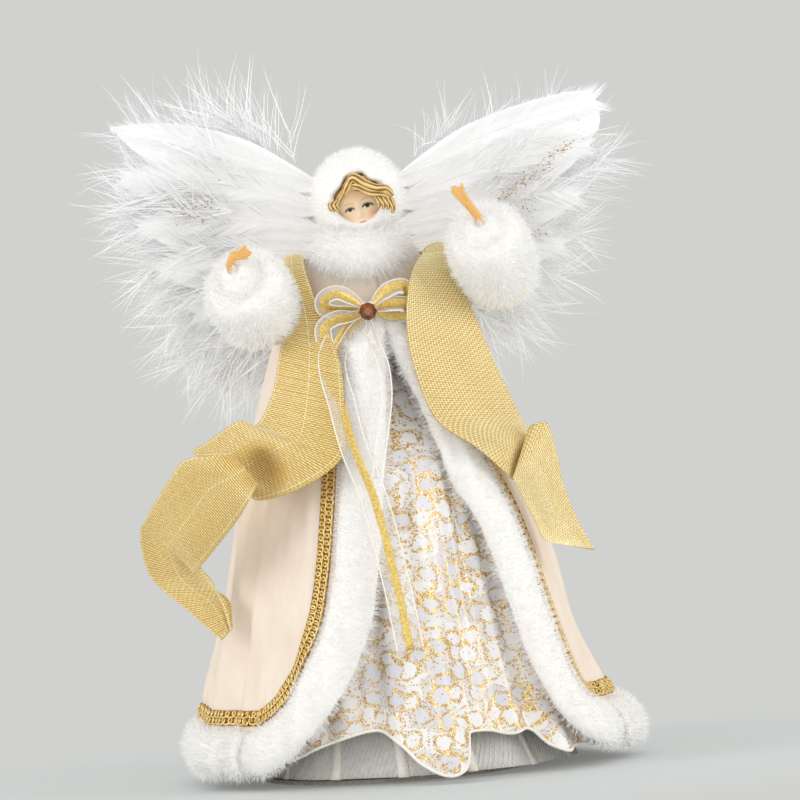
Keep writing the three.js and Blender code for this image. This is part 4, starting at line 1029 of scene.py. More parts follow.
def band_ring(angle, rise):
    """The section of a band at one place of the coat's edge: a low crown, a flat foot, and a lip."""
    crown = [trim_point(angle, lerp(-EDGE_OVER, PAD_WIDTH, v), crown_height(rise, v)) for v in ACROSS_BAND]
    sole = [trim_point(angle, lerp(0.1, PAD_WIDTH, v), FUR_FOOT) for v in ACROSS_BAND[::-1]]
    lip = [trim_point(angle, 0.1 - over, -EDGE_UNDER) for over in (0.2, 0.1 + EDGE_OVER)]
    return crown + sole + lip


def band_top(side, height):
    """The section above the opening, where both bands run together under the bow and thin out."""
    share = (height - OPENING_TOP) / FUR_ABOVE
    start = lerp(3, 0.3, share)
    end = start + math.degrees(lerp(PAD_WIDTH, 7, share) / robe_radius(height))
    rise = lerp(PAD_RISE, 1.0, share)
    crown = [skin_point(side * lerp(start - 1.5, end, v), height, crown_height(rise, v)) for v in ACROSS_BAND]
    sole = [skin_point(side * lerp(start, end, v), height, FUR_FOOT) for v in ACROSS_BAND[::-1]]
    lip = [skin_point(side * (start - over), height, FUR_FOOT / 2) for over in (0.3, 1.5)]
    return crown + sole + lip


for name, angles, rise, pile, seed in (
        ("fur_edge_right", edge_angles(1, 90), PAD_RISE, 3.8, 2),
        ("fur_edge_left", edge_angles(-1, 90), PAD_RISE, 3.8, 3),
        ("fur_hem", np.linspace(HEM_JOIN, 360 - HEM_JOIN, 170), PAD_RISE + 1, 4.6, 4)):
    rings = [band_ring(one_turn(a), rise) for a in angles]
    if name != "fur_hem":
        rings = [band_top(math.copysign(1, angles[0]), OPENING_TOP + FUR_ABOVE * t)
                 for t in (1, 0.8, 0.6, 0.4, 0.2)] + rings
    pad = rings_piece(name + "_pad", rings, fur_knit)
    furry(pad, "figure", name, robe, length=pile, clear=0.8, seed=seed)

# %% Pads turned round an axis, for the cuffs, the collar and the hood


def turned_pad(name, section, centre, axis, count=40):
    """A closed solid from a section of (along, radius) places, turned round an axis."""
    axis = unit(axis)
    side = unit(np.cross(axis, (1, 0, 0) if abs(axis[0]) < 0.8 else (0, 0, 1)))
    other = np.cross(axis, side)
    points, faces = [], []
    for r, (along, radius) in enumerate(section):
        points += [np.array(centre) + axis * along + radius * (math.cos(a) * side + math.sin(a) * other)
                   for a in all_round(count)]
        low, high = r * count, (r + 1) % len(section) * count
        faces += [(low + i, low + (i + 1) % count, high + (i + 1) % count, high + i) for i in range(count)]
    piece = new_piece(name, points, faces, fur_knit)
    outwards(piece)
    return piece


# %% The cuffs: each closes round its wrist, where the fur is drawn along with the hand
CUFF_BORE, CUFF_LONGER, WRIST_COVER = 9.2, 6.0, 0.75
CUFF_LIP = [(1.0, 6.5), (0.4, 4.2), (1.0, 2.2), (6.0, 4.2), (10.5, CUFF_BORE)]
for side, arm in (("left", LEFT_ARM), ("right", RIGHT_ARM)):
    half = arm["length"] / 2
    thick = arm["radius"] - 2.2
    section = []
    for a in np.linspace(-math.pi / 2, math.pi / 2, 19):
        reach = half - 2.5 if a > 0 else half + CUFF_LONGER
        section.append((reach * math.sin(a), CUFF_BORE + (thick - CUFF_BORE) * math.cos(a) ** 0.55))
    section += [(half - back, radius) for back, radius in CUFF_LIP]
    section += [(t, CUFF_BORE) for t in np.linspace(half - 11.5, 0.5 - half - CUFF_LONGER, 5)]
    pad = turned_pad(f"cuff_{side}_pad", section, arm["cuff"], arm["mouth"])
    mouth = unit(arm["mouth"])
    towards = np.array(arm["hand"][0]) - arm["cuff"] - (half - 1) * mouth
    for v in pad.data.vertices:
        place = np.array(v.co) / MM - arm["cuff"]
        along = place.dot(mouth)
        aside = np.linalg.norm(place - along * mouth)
        drawn = smooth_step(half - 9, half - 1, along) * smooth_step(9.5, 2.5, aside)
        v.co += Vector(towards * drawn * WRIST_COVER * MM)
    sleeve = bpy.data.objects[f"sleeve_{side}_cloth"]
    furry(pad, f"{side}_arm", f"cuff_{side}", sleeve, length=4.4, clear=2.2, seed=5, comb=(0, -0.15, 0.3))

# %% The collar, a fat ring round the neck
COLLAR = (0, -8, 221)
COLLAR_HALF, COLLAR_EDGE, COLLAR_BULGE, COLLAR_BORE = 11.5, 6.5, 15.0, 5.5
section = [(COLLAR_HALF * math.sin(a), COLLAR_EDGE + COLLAR_BULGE * math.cos(a))
           for a in np.linspace(-math.pi / 2, math.pi / 2, 25)]
section += [(11.2 * t, COLLAR_BORE) for t in np.linspace(1, -1, 6)]
collar = turned_pad("collar_pad", section, COLLAR, (0, 0, 1))
furry(collar, "figure", "collar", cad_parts["head"], length=4.6, clear=4.0, seed=6, comb=(0, 0, -0.6))

# %% The hood: an outer and an inner shell that meet at the rim, which is drawn in round the face
HOOD = (0, -2, 246)
HOOD_OPENING, HOOD_POLE = 41, 179.7
HOOD_NEARER = [(-52, 26, 10), (36, 16, 9), (-5, 15, 3)]
HOOD_OUTSIDE, HOOD_INSIDE, HOOD_BALD = 18.6, 14.6, 16.6
section = []
for radius, turns in ((HOOD_OUTSIDE, np.linspace(HOOD_OPENING, HOOD_POLE, 26)),
                      (HOOD_INSIDE, np.linspace(HOOD_POLE, HOOD_OPENING + 4, 22))):
    section += [(radius * math.cos(math.radians(a)), radius * math.sin(math.radians(a))) for a in turns]
hood = turned_pad("hood_pad", section, HOOD, (0, -1, 0), count=56)
for v in hood.data.vertices:
    out = v.co / MM - Vector(HOOD)
    away = math.degrees(math.acos(-out.y / out.length))
    around = math.degrees(math.atan2(out.x, out.z))
    nearer = sum(by * math.exp(-((around - at) / wide) ** 2) for at, wide, by in HOOD_NEARER)
    a = math.radians(away - nearer * smooth_step(95, HOOD_OPENING, away))
    side = Vector((out.x, 0, out.z)).normalized()
    v.co = (Vector(HOOD) + out.length * (side * math.sin(a) + Vector((0, -math.cos(a), 0)))) * MM
furry(hood, "head", "hood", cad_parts["hair"], length=3.0, clear=1.0, seed=7,
      bald=lambda p: math.dist(p, HOOD) < HOOD_BALD)

# %% [markdown]
# ## The gimp braid
# A narrow gold gimp is sewn along the inner edge of the fur: two rows of metallic thread coiled in small
# loops, over a dark band that paints the shade between them. It could be one tube bent in place, but the band
# is thin and already follows the coat, so the loops are drawn flat and laid on it by the thread tree.

# %% Braid
BRAID_START, BRAID_WIDTH, LOOP_LENGTH = 19.4, 6.4, 2.7


def braid(name, angles):
    """The band and its loops for one stretch of the coat's edge."""
    steps = len(angles)

    def at(u, v):
        angle = np.interp(u * (steps - 1), range(steps), angles)
        return trim_point(one_turn(angle), BRAID_START + BRAID_WIDTH * v, 0.5)
    # The band's dark brown is painted shade between the loops
    band = grid_piece(name + "_band", np.linspace(0, 1, steps), np.linspace(0, 1, 5), at, gimp_loop_shade)
    length = sum(math.dist(at(k / steps, 0.5), at((k + 1) / steps, 0.5)) for k in range(steps))
    turns = round(length / LOOP_LENGTH)
    points, edges = [], []
    for row, shift in ((0.28, 0.0), (0.72, math.pi)):
        start = len(points)
        count = turns * 12
        for k in range(count + 1):
            t = k / count
            a = 2 * math.pi * turns * t + shift
            u = min(0.999, max(0.001, t + 0.5 / turns * math.cos(a)))
            points.append((u / MM, (row + 0.2 * math.sin(a)) / MM, 0.6 + 0.35 * math.cos(a + 1)))
        edges += chain(start, count)
    loops = grow(new_piece(name + "_loops", points, edges=edges), thread_tree, Cloth=band,
                 Radius=0.46 * MM, Sides=5, Finish=gimp)
    thicken(band, 0.5, 0)
    wear(band, "figure", "braid", name)
    wear(loops, "figure", "braid")


braid("braid_right", edge_angles(1, 120, start=5))
braid("braid_left", edge_angles(-1, 120, start=5)[::-1])
braid("braid_hem", list(np.linspace(HEM_JOIN, 360 - HEM_JOIN, 240)))

# %% [markdown]
# ## The stole
# A wide metallic ribbon lies over the shoulders and falls free on both sides, folded over partway down. It is
# an open weave of foil threads, coarse enough to see. Bump alone would look painted on, so the threads are
# real: warp and weft are drawn flat, over and under each other, and then laid on a thin amber sheet. That
# sheet is painted shade, seen as darker amber through the holes of the weave.

# %% The falls of the stole: an outer and an inner edge for each, seen by stations from the shoulder down
STOLE_LEFT = [
    ((-34, 5, 218.5), (-25, 3, 220)), ((-34.5, -8, 220.5), (-25, -10, 222.5)),
    ((-34.5, -22, 214.5), (-24, -25, 216)), ((-31, -28, 200), (-20, -29, 201)),
    ((-36.5, -32, 186.7), (-12.4, -42, 179.3)), ((-42.2, -36, 166.1), (-11.7, -50, 158.5)),
    ((-49.9, -44, 154.4), (-13, -60, 141.4)), ((-56, -48, 157), (-22.1, -66, 133.1)),
    ((-70, -48, 149.6), (-39.7, -60, 125.1)), ((-77.5, -48, 145), (-52, -54, 123.3)),
    ((-60.5, -60, 144.6), (-50.9, -68, 130.2)), ((-69.5, -66, 144.2), (-54.6, -69, 124.4)),
    ((-81, -63, 143), (-60, -66, 116.5)), ((-88.5, -57, 134), (-68.5, -60, 106.5)),
    ((-95, -48, 124.5), (-77.9, -50, 95.9)),
    ((-99, -41, 117.5), (-80.5, -44, 93.8)), ((-101.8, -36, 112.7), (-78.7, -38, 96)),
    ((-99.3, -34, 93.3), (-72, -34, 88)), ((-85.4, -40, 78.6), (-66.1, -38, 80.6)),
    ((-70.7, -46, 64.4), (-65.5, -42, 68.9))]
STOLE_RIGHT = [
    ((34, 5, 219), (26, 3, 220)), ((36.5, -8, 223.5), (28.2, -12, 223)),
    ((39, -18, 212.4), (20.8, -34, 214)),
    ((44.4, -21, 197.4), (17.8, -38, 202.5)), ((50.4, -22, 180), (16.9, -42, 190)),
    ((56.1, -22, 164.6), (19.1, -47, 173.2)), ((62.3, -22, 149.2), (27, -52, 151.7)),
    ((64.9, -24, 143.7), (42.3, -52, 139.5)), ((66, -26, 142), (52.3, -48, 129.3)),
    ((65.5, -22, 138.4), (57.4, -42, 123.3)), ((66.2, -34, 145.2), (57.5, -46, 124.4)),
    ((72.7, -34, 146.4), (58.9, -46, 120.9)), ((76.5, -32, 134), (62.2, -44, 112.9)),
    ((78.5, -30, 119.7), (65.5, -42, 104.8)), ((82.7, -29, 105.7), (69.2, -40, 96.8)),
    ((89.7, -30, 90.4), (75.4, -38, 94.6))]

# %% How a fall lies: clear of the coat, with a crown, a ripple, and on the left a hollow and a turned-up edge
LEFT_DENTS = [(-47, 137, 6.5, 16)]
TURNED_UP = 0.8
STOLE_LIFT, FUR_STANDS = 2.4, 6.6
STOLE_COLUMNS, STOLE_ROWS = 28, 241


def clear_of_coat(point):
    """Brings a point forward until it clears the coat, and the fur below the top of the opening."""
    x, y, z = point
    stands = FUR_STANDS if z < OPENING_TOP else 0
    return np.array((x, min(y, skin_front(x, z) - stands - STOLE_LIFT), z))


def fall(pairs, dents=()):
    """A function of u across and v along one fall, with its rows evenly spaced along its middle."""
    outer, inner = ([np.array(p[k], float) if i == 0 else clear_of_coat(p[k]) for i, p in enumerate(pairs)]
                    for k in (0, 1))
    fine = list(zip(route(outer, 900), route(inner, 900)))
    middle = [(a + b) / 2 for a, b in fine]
    run = run_of(middle)
    rows = [fine[k] for k in np.searchsorted(run, np.linspace(0, run[-1] * 0.9999, STOLE_ROWS))]

    def at(u, v):
        a, b = rows[round(v * (STOLE_ROWS - 1))]
        bow = -1.6 * math.sin(math.pi * u) * smooth_step(0, 0.2, v)
        ripple = 0.5 * math.sin(2 * math.pi * (1.5 * u + 2.3 * v)) * smooth_step(0.1, 0.4, v)
        crest = 1.8 * math.sin(math.pi * u) * smooth_step(0.12, 0.0, v)
        end = smooth_step(0.87, 0.95, v) if dents else 0
        folded = u / TURNED_UP if u < TURNED_UP else 1 - 1.2 * (u - TURNED_UP)
        spot = lerp(a, b, lerp(u, folded, end)) + np.array((0, bow + ripple, crest))
        spot[1] -= 1.3 * end * smooth_step(TURNED_UP, TURNED_UP + 0.04, u)
        for x, z, wide, deep in dents:
            spot[1] += deep * math.exp(-((spot[0] - x) / wide) ** 2 - ((spot[2] - z) / wide) ** 2)
        return spot
    return at


# %% The weave, as coarse as it has to be to show
WEAVE_PITCH, THREAD_RADIUS, THREAD_WAVE = 0.98, 0.27, 0.06
EDGE_LEAST, EDGE_MOST = 0.002, 0.998


def weave(name, ribbon, at, width, length):
    """Warp and weft over a ribbon, each over one and under the next. Where it is gathered, warps hide."""
    points, edges = [], []
    across, along = round(width / WEAVE_PITCH), round(length / WEAVE_PITCH)
    for lines, steps, weft in ((across, along, False), (along, across, True)):
        for i in range(lines):
            start = len(points)
            for j in range(steps + 1):
                u, v = (i + 0.5) / lines, j / steps
                if not weft and i % max(1, int(width / np.linalg.norm(at(1, v) - at(0, v)))):
                    start = len(points)
                    continue
                height = THREAD_WAVE if (i + j + weft) % 2 else -THREAD_WAVE
                flat = (v, u) if weft else (u, v)
                points.append((*[min(EDGE_MOST, max(EDGE_LEAST, x)) / MM for x in flat], height))
            edges += chain(start, len(points) - 1 - start)
    return grow(new_piece(name, points, edges=edges), thread_tree, Cloth=ribbon,
                Radius=THREAD_RADIUS * MM, Sides=4, Finish=foil_thread)


def ribbon_size(at):
    """How wide a fall is on average, and how long its middle is, in millimetres."""
    middle = [at(0.5, v) for v in np.linspace(0, 1, 81)]
    width = np.mean([np.linalg.norm(np.array(at(1, v)) - at(0, v)) for v in np.linspace(0, 1, 41)])
    return width, run_of(middle)[-1]


def stole_back(u, v):
    """The stretch over the shoulders, round the back of the neck."""
    a = math.radians(lerp(-97, 97, v))
    wide = lerp(34, 25.5, u)
    sag = 1 - abs(math.sin(a)) ** 2
    deep = lerp(36, 26, u)
    height = lerp(218.5, 220, u) - lerp(13, 1, u) * sag
    return np.array((wide * math.sin(a), -3 + deep * math.cos(a) * 0.9, height))


STOLE = {"stole_left": fall(STOLE_LEFT, LEFT_DENTS), "stole_right": fall(STOLE_RIGHT),
         "stole_back": stole_back}
for name, at in STOLE.items():
    width, length = ribbon_size(at)
    # The amber sheet under the threads is painted shade, seen through the holes of the weave
    ribbon = grid_piece(name + "_ribbon", np.linspace(0, 1, STOLE_COLUMNS), np.linspace(0, 1, STOLE_ROWS),
                        at, weave_hole_shade)
    area = area_of(ribbon)
    threads = weave(name + "_weave", ribbon, at, max(width, 10), length)
    thicken(ribbon, 0.3, 0)
    wear(ribbon, "figure", "ribbon", name)
    wear(threads, "figure", "ribbon")
    share = area / width / length / MM / MM
    print(name, round(width, 1), "by", round(length, 1), "mm, area share", round(share, 2))

# %% [markdown]
# ## The bow
# The bow is sheer organza ribbon with corded edges and a gold stripe down its middle, tied under the collar
# with a cut amber bead on the knot. It could be a cloth simulation, but each loop has a set shape to meet,
# so each loop and tail is a strip along its own line, and the stripe and the edge cords follow it.

# %% Strips of organza
BOW_X, BOW_HEIGHT = 1, 199
BEAD_RADIUS = 3.9
KNOT_Y = skin_front(BOW_X, BOW_HEIGHT - BEAD_RADIUS) - 3.6
STRIP_FACES, CORD_STEPS = 14, 89


def strip(name, stations, width, facing=None, looped=False, stripe=(0.36, 0.64)):
    """A ribbon along a line of stations, narrower where it enters the knot, at both ends of a loop."""
    count = 61
    line = route(stations, count)
    sides = []
    for k, p in enumerate(line):
        along = unit(line[min(k + 1, count - 1)] - line[max(k - 1, 0)])
        look = np.array(facing(k / (count - 1)) if facing else (0, -1, 0), float)
        side = np.cross(along, look)
        sides.append(side / max(1e-6, np.linalg.norm(side)))

    def at(u, v):
        k = round(v * (count - 1))
        ends = min(smooth_step(0, 0.22, v), smooth_step(1, 0.78, v) if looped else 1)
        half = width / 2 * lerp(0.35, 1, ends)
        curl = 0.5 * math.cos(2 * math.pi * u) * ends
        out = np.cross(sides[k], line[min(k + 1, count - 1)] - line[max(k - 1, 0)])
        out = out / max(1e-6, np.linalg.norm(out))
        return line[k] + sides[k] * half * (2 * u - 1) + out * curl
    across = np.linspace(0, 1, STRIP_FACES + 1)
    ribbon = grid_piece(name + "_organza", across, np.linspace(0, 1, count), at, organza)
    ribbon.data.materials.append(foil_stripe)
    for face in ribbon.data.polygons:
        u = (face.index % STRIP_FACES + 0.5) / STRIP_FACES
        face.material_index = 1 if stripe[0] < u < stripe[1] else 0
    points, edges = [], []
    for u in (0.015, 0.985):
        start = len(points)
        points += [(u / MM, v / MM, 0.0) for v in np.linspace(EDGE_LEAST, EDGE_MOST, CORD_STEPS + 1)]
        edges += chain(start, CORD_STEPS)
    cords = grow(new_piece(name + "_cords", points, edges=edges), thread_tree, Cloth=ribbon,
                 Radius=0.3 * MM, Sides=5, Finish=edge_cord)
    length = run_of(line)[-1]
    thicken(ribbon, 0.15, 0)
    wear(ribbon, "figure", "organza", name)
    wear(cords, "figure", "organza")


# %% The loops, as steps from the knot
KNOT = np.array((BOW_X, KNOT_Y, BOW_HEIGHT))
BOW_LOOPS = {
    "left_upper": [(0, 0, 0), (-6.5, -3, 5.5), (-13, -5, 8.5), (-18, -4.5, 6.5), (-18.5, -3, 2.5),
                   (-13, -1, 0.5), (-6, 0.2, 0), (0, 0.4, -0.6)],
    "left_lower": [(0, 0, -0.5), (-7, -2, -2), (-14, -4, -2.5), (-19, -5, -5.5), (-19.5, -5, -10),
                   (-16.5, -4, -17), (-12, -2, -15), (-5, 0, -6), (0, 0.4, -1)],
    "right_upper": [(0, 0, 0), (6, -2, 6), (11.5, -2.5, 9), (16, -1.5, 9), (17, 0, 6),
                    (13, 0.4, 3.5), (6, 0.5, 1), (0, 0.5, -0.6)],
    "right_lower": [(0, 0, 0), (6, -2, 1.5), (12.5, -2.5, 2), (16.5, -2, 1), (17, -1, -2),
                    (12, 0, -3), (5, 0.3, -1.5), (0, 0.4, -0.8)]}
LOOP_WIDTH = 7
for place, steps in BOW_LOOPS.items():
    strip("bow_loop_" + place, [KNOT + step for step in steps], LOOP_WIDTH, looped=True,
          stripe=(0.12, 0.68), facing=lambda t: (0, -0.8, 0.55 if t < 0.5 else -0.55))

# %% The tails
LEFT_TAIL = [(-6, 194.5), (-15.5, 181), (-12.5, 160), (-9, 143), (-2, 122), (5, 86), (9, 58)]
RIGHT_TAIL = [(1.5, 190), (6, 176), (6.5, 164), (4.5, 152), (2, 140), (0, 130)]


def tail(name, places, width, lift, **stripe):
    """A tail of the bow that hangs in front of the gown."""
    stations = [(BOW_X, KNOT_Y, BOW_HEIGHT - 1)]
    for x, z in places:
        stations.append((x, min(KNOT_Y, skin_front(x, z)) - lift * smooth_step(196, 175, z), z))
    strip(name, stations, width, **stripe)


tail("bow_tail_left", LEFT_TAIL, width=11.5, lift=9)
tail("bow_tail_right", RIGHT_TAIL, width=4.5, lift=10, stripe=(0, 0))

# %% The knot and the cut bead
knot_rings = tube_points([(BOW_X, KNOT_Y - 0.2, BOW_HEIGHT + 3.6 - t) for t in np.linspace(0, 7.2, 15)],
                         lambda t: 2.2 + 1.4 * math.sin(math.pi * t) ** 0.7, 22)
for ring in knot_rings:
    for i, p in enumerate(ring):
        ring[i] = p + np.array((0.25 * math.sin(1.7 * i), 0.2 * math.cos(2.3 * i), 0))
knot = rings_piece("bow_knot_wrap", knot_rings, edge_cord)
wear(knot, "figure", "organza", "bow_knot")
BEAD = np.array((BOW_X, KNOT_Y - 6.2, BOW_HEIGHT))
facets = []
for height, size in ((-1, 0.5), (-0.72, 0.82), (-0.2, 1), (0.25, 1), (0.68, 0.8), (1, 0.42)):
    turn = 0.3 if abs(height) > 0.5 else 0
    facets.append([BEAD + BEAD_RADIUS * np.array((size * math.cos(a), -0.72 * height, size * math.sin(a)))
                   for a in all_round(8) + turn])
bead = rings_piece("bow_bead_cut", facets, amber)
bead.data.shade_flat()
wear(bead, "figure", "bead", "bow_bead")

# %% [markdown]
# ## The head
# The head is cast in resin and painted: a round doll's face that looks down, with dark lashes, a touch of
# blush and small lips. It could be sculpted by hand, but a rule is easier to adjust: a rounded head section
# for each height, and soft bumps and hollows for brow, sockets, nose, lips and chin. The paint is a colour
# kept on the mesh, worked out from the same places.

# %% The head's form, before it is tilted
HEAD_HALF, HEAD_HIGH = 11.7, 14.5
HEAD_PLACE = np.array((0, -2, 242.0))
HEAD_TILT = math.radians(-12)
HEAD_SIDES = [(-1, 0.34), (-0.86, 0.6), (-0.5, 0.88), (0, 1), (0.4, 1), (0.75, 0.8), (0.93, 0.45), (1, 0.12)]
HEAD_FACE = [(-1, 0.74), (-0.86, 0.9), (-0.5, 0.98), (0, 0.98), (0.4, 0.96), (0.75, 0.78), (1, 0.12)]
HEAD_BACK = [(-1, 0.3), (-0.5, 0.8), (0, 1.03), (0.4, 1.05), (0.75, 0.84), (1, 0.12)]
EYE_X, EYE_Z, NOSE_Z, LIPS_Z = 3.7, -0.6, -4.1, -7.2


def hump(x, z, at_x, at_z, wide, tall):
    """A soft bump of height 1."""
    return math.exp(-((x - at_x) / wide) ** 2 - ((z - at_z) / tall) ** 2)


def face_relief(x, z):
    """How far the face stands forward of a plain egg."""
    relief = 1.25 * hump(x, z, 0, NOSE_Z, 1.15, 1.0) + 0.55 * hump(x, z, 0, NOSE_Z + 2.4, 0.95, 2.4)
    relief += 0.45 * hump(x, z, 0, LIPS_Z + 0.35, 1.7, 0.6) + 0.4 * hump(x, z, 0, LIPS_Z - 0.6, 1.4, 0.6)
    relief -= 0.25 * hump(x, z, 0, LIPS_Z - 0.1, 1.6, 0.28)
    relief += 0.8 * hump(x, z, 0, -10.6, 2.6, 1.8) - 0.35 * hump(x, z, 0, LIPS_Z - 1.7, 2.0, 0.8)
    for way in (-1, 1):
        relief -= 0.75 * hump(x, z, way * EYE_X, EYE_Z + 0.3, 2.4, 1.5)
        relief += 0.65 * hump(x, z, way * EYE_X, EYE_Z - 0.1, 1.7, 0.95)
        relief += 0.35 * hump(x, z, way * 3.9, 2.2, 2.8, 0.9) + 0.5 * hump(x, z, way * 5.2, -5.0, 2.4, 2.2)
        relief += 0.3 * hump(x, z, way * 0.95, NOSE_Z - 0.25, 0.55, 0.5)
    return relief


def tilted(p):
    """From the head's own upright frame to its place on the neck."""
    x, y, z = p
    return np.array((x * math.cos(HEAD_TILT) + z * math.sin(HEAD_TILT), y,
                     z * math.cos(HEAD_TILT) - x * math.sin(HEAD_TILT))) + HEAD_PLACE


def head_point(angle, level, lift=0.0):
    """A point on the head: the angle from straight ahead, in degrees, and the level from -1 to 1."""
    a = math.radians(angle)
    front = profile(HEAD_FACE, level) if math.cos(a) > 0 else profile(HEAD_BACK, level)
    x = (profile(HEAD_SIDES, level) * HEAD_HALF + lift) * math.sin(a)
    y = -(front * HEAD_HALF + lift) * math.cos(a)
    z = level * HEAD_HIGH
    if math.cos(a) > 0:
        y -= face_relief(x, z) * min(1, 1.6 * math.cos(a))
    return np.array((x, y, z))


# %% The paint: flesh, blush, lips, and eyes that look down under dark lashes
FLESH, FOREHEAD, BLUSH = (linear(code) for code in ("F8E0C0", "F2CE9E", "F2B48E"))
LIPS, LASH, LID = (linear(code) for code in ("E07C86", "20120A", "E2B088"))
BROW, IRIS, WHITE = (linear(code) for code in ("C9A070", "5A6E3A", "F3EEDC"))


def mix(a, b, t):
    """A colour between two others."""
    return tuple(lerp(p, q, min(1, max(0, t))) for p, q in zip(a, b))


def face_paint(x, y, z):
    """The colour of a place on the head."""
    colour = mix(FLESH, FOREHEAD, smooth_step(0.5, 5, z) * 0.8)
    if y > 0:
        return colour
    for way, strong in ((-1, 0.45), (1, 0.85)):
        colour = mix(colour, BLUSH, strong * hump(x, z, way * 5.0, -4.4, 2.3, 1.7))
    colour = mix(colour, BLUSH, 0.4 * hump(x, z, 0, NOSE_Z - 0.5, 1.2, 0.6))
    lip = 0.95 * smooth_step(1.15, 0.75, math.hypot(x / 1.75, (z - LIPS_Z) / 0.95))
    colour = mix(colour, LIPS, lip)
    colour = mix(colour, mix(LIPS, LASH, 0.45), 0.8 * hump(x, z, 0, LIPS_Z - 0.05, 1.3, 0.14))
    for way, size in ((-1, 0.92), (1, 1.08)):
        ex, ez = (x - way * EYE_X) / size * way, (z - EYE_Z) / size
        arch = 0.75 - 0.16 * ex * ex
        colour = mix(colour, LID, 0.6 * hump(ex, ez, 0.1, 1.2, 1.9, 0.5))
        if abs(ex) < 2.1:
            lower = -0.95 + 0.12 * ex * ex
            white = smooth_step(0.1, 0.35, arch - ez) * smooth_step(lower, lower + 0.25, ez)
            colour = mix(colour, WHITE, 0.75 * white * smooth_step(2.1, 1.7, abs(ex)))
            iris = smooth_step(0.95, 0.75, math.hypot(ex - 0.1, ez + 0.15))
            colour = mix(colour, IRIS, iris * white)
            pupil = smooth_step(0.75, 0.55, math.hypot(ex - 0.1, ez - 0.1))
            colour = mix(colour, LASH, 0.9 * pupil * white)
        lash = math.exp(-((ez - arch + 0.1) / 0.52) ** 2) * smooth_step(2.7, 2.0, abs(ex - 0.25))
        colour = mix(colour, LASH, lash)
        brow = math.exp(-((ez - 3.0 + 0.11 * (ex - 0.3) ** 2) / 0.3) ** 2) * smooth_step(2.9, 2.0, abs(ex))
        colour = mix(colour, BROW, 0.6 * brow)
    return colour


def painted(piece, colours):
    """Keeps a colour for each point of a piece as the attribute that the paint finishes read."""
    layer = piece.data.attributes.new("paint", "FLOAT_COLOR", "POINT")
    layer.data.foreach_set("color", [c for colour in colours for c in colour])


turns = [180 * math.copysign(abs(t) ** 1.7, t) for t in np.linspace(-1, 1, 181)[:-1]]
levels = np.linspace(-0.995, 0.995, 150)
own = [[head_point(a, s) for a in turns] for s in levels]
head = rings_piece("head_cast", [[tilted(p) for p in ring] for ring in own], flesh)
painted(head, [face_paint(*p) for ring in own for p in ring])
wear(head, "head", "painted_resin", "head")

# %% [markdown]
# ## The hair
# The hair is part of the casting: waves swept to one side from a peak over the brow, and ringlets at the
# temples. It could be strands, but cast hair is solid, so each lock is a tapered tube along its own line over
# the head, ribbed along its length. Its colour carries painted shade in the grooves and a painted highlight
# on the ridges.

# %% Locks
LOCK_SIDES, LOCK_STEPS = 20, 34
HAIR_HIGHLIGHT, HAIR_MID, HAIR_DARK = (linear(code) for code in ("FADD98", "E2AC50", "6A3C14"))


def lock_along(line, thick, ribs=4, squash=0.6):
    """One lock along a line, with painted shade in its grooves and a painted highlight on its ridges."""
    def radius(t):
        return thick * (0.18 + 0.82 * math.sin(math.pi * (0.1 + 0.86 * t)) ** 0.8)
    rings = tube_points(line, radius, LOCK_SIDES, squash)
    tints = []
    for k, ring in enumerate(rings):
        for i, p in enumerate(ring):
            groove = math.cos(ribs * 2 * math.pi * i / LOCK_SIDES + 0.12 * k)
            ring[i] = line[k] + (p - line[k]) * (1 + 0.14 * groove)
            # Painted shade in the grooves, and a painted highlight on the ridges
            shade = smooth_step(-0.95, 0.8, groove + 0.2 * math.sin(k * 0.5))
            tints.append(mix(HAIR_DARK, mix(HAIR_MID, HAIR_HIGHLIGHT, shade), 0.08 + 0.92 * shade))
    return rings, tints


def lock(stations, thick, ribs=4):
    """A lock through places given as angle, level and lift over the head."""
    places = route([head_point(*s) for s in stations], LOCK_STEPS)
    return lock_along([tilted(p) for p in places], thick, ribs)


# %% The locks that lie on the head, over the brow and at its sides
locks = [
    lock([(-14, 0.62, 0.6), (2, 0.66, 1.7), (22, 0.54, 2.1), (42, 0.36, 2.2), (60, 0.20, 1.8)], 2.3),
    lock([(-18, 0.70, 0.5), (4, 0.80, 1.5), (28, 0.70, 2.0), (50, 0.48, 2.0), (68, 0.26, 1.4)], 2.4),
    lock([(-10, 0.56, 0.4), (6, 0.55, 1.2), (22, 0.44, 1.6), (38, 0.30, 1.7), (52, 0.14, 1.3)], 1.6, 3),
    lock([(-12, 0.68, 0.6), (-26, 0.58, 1.2), (-42, 0.40, 1.2), (-56, 0.22, 0.9)], 1.9),
    lock([(-8, 0.60, 0.4), (-22, 0.50, 0.9), (-36, 0.34, 1.0), (-50, 0.16, 0.7)], 1.3, 3),
    lock([(-20, 0.80, 0.4), (0, 0.88, 1.1), (30, 0.82, 1.5), (60, 0.56, 1.3)], 2.6),
    lock([(-24, 0.78, 0.4), (-44, 0.60, 0.9), (-62, 0.36, 0.8)], 2.3),
]

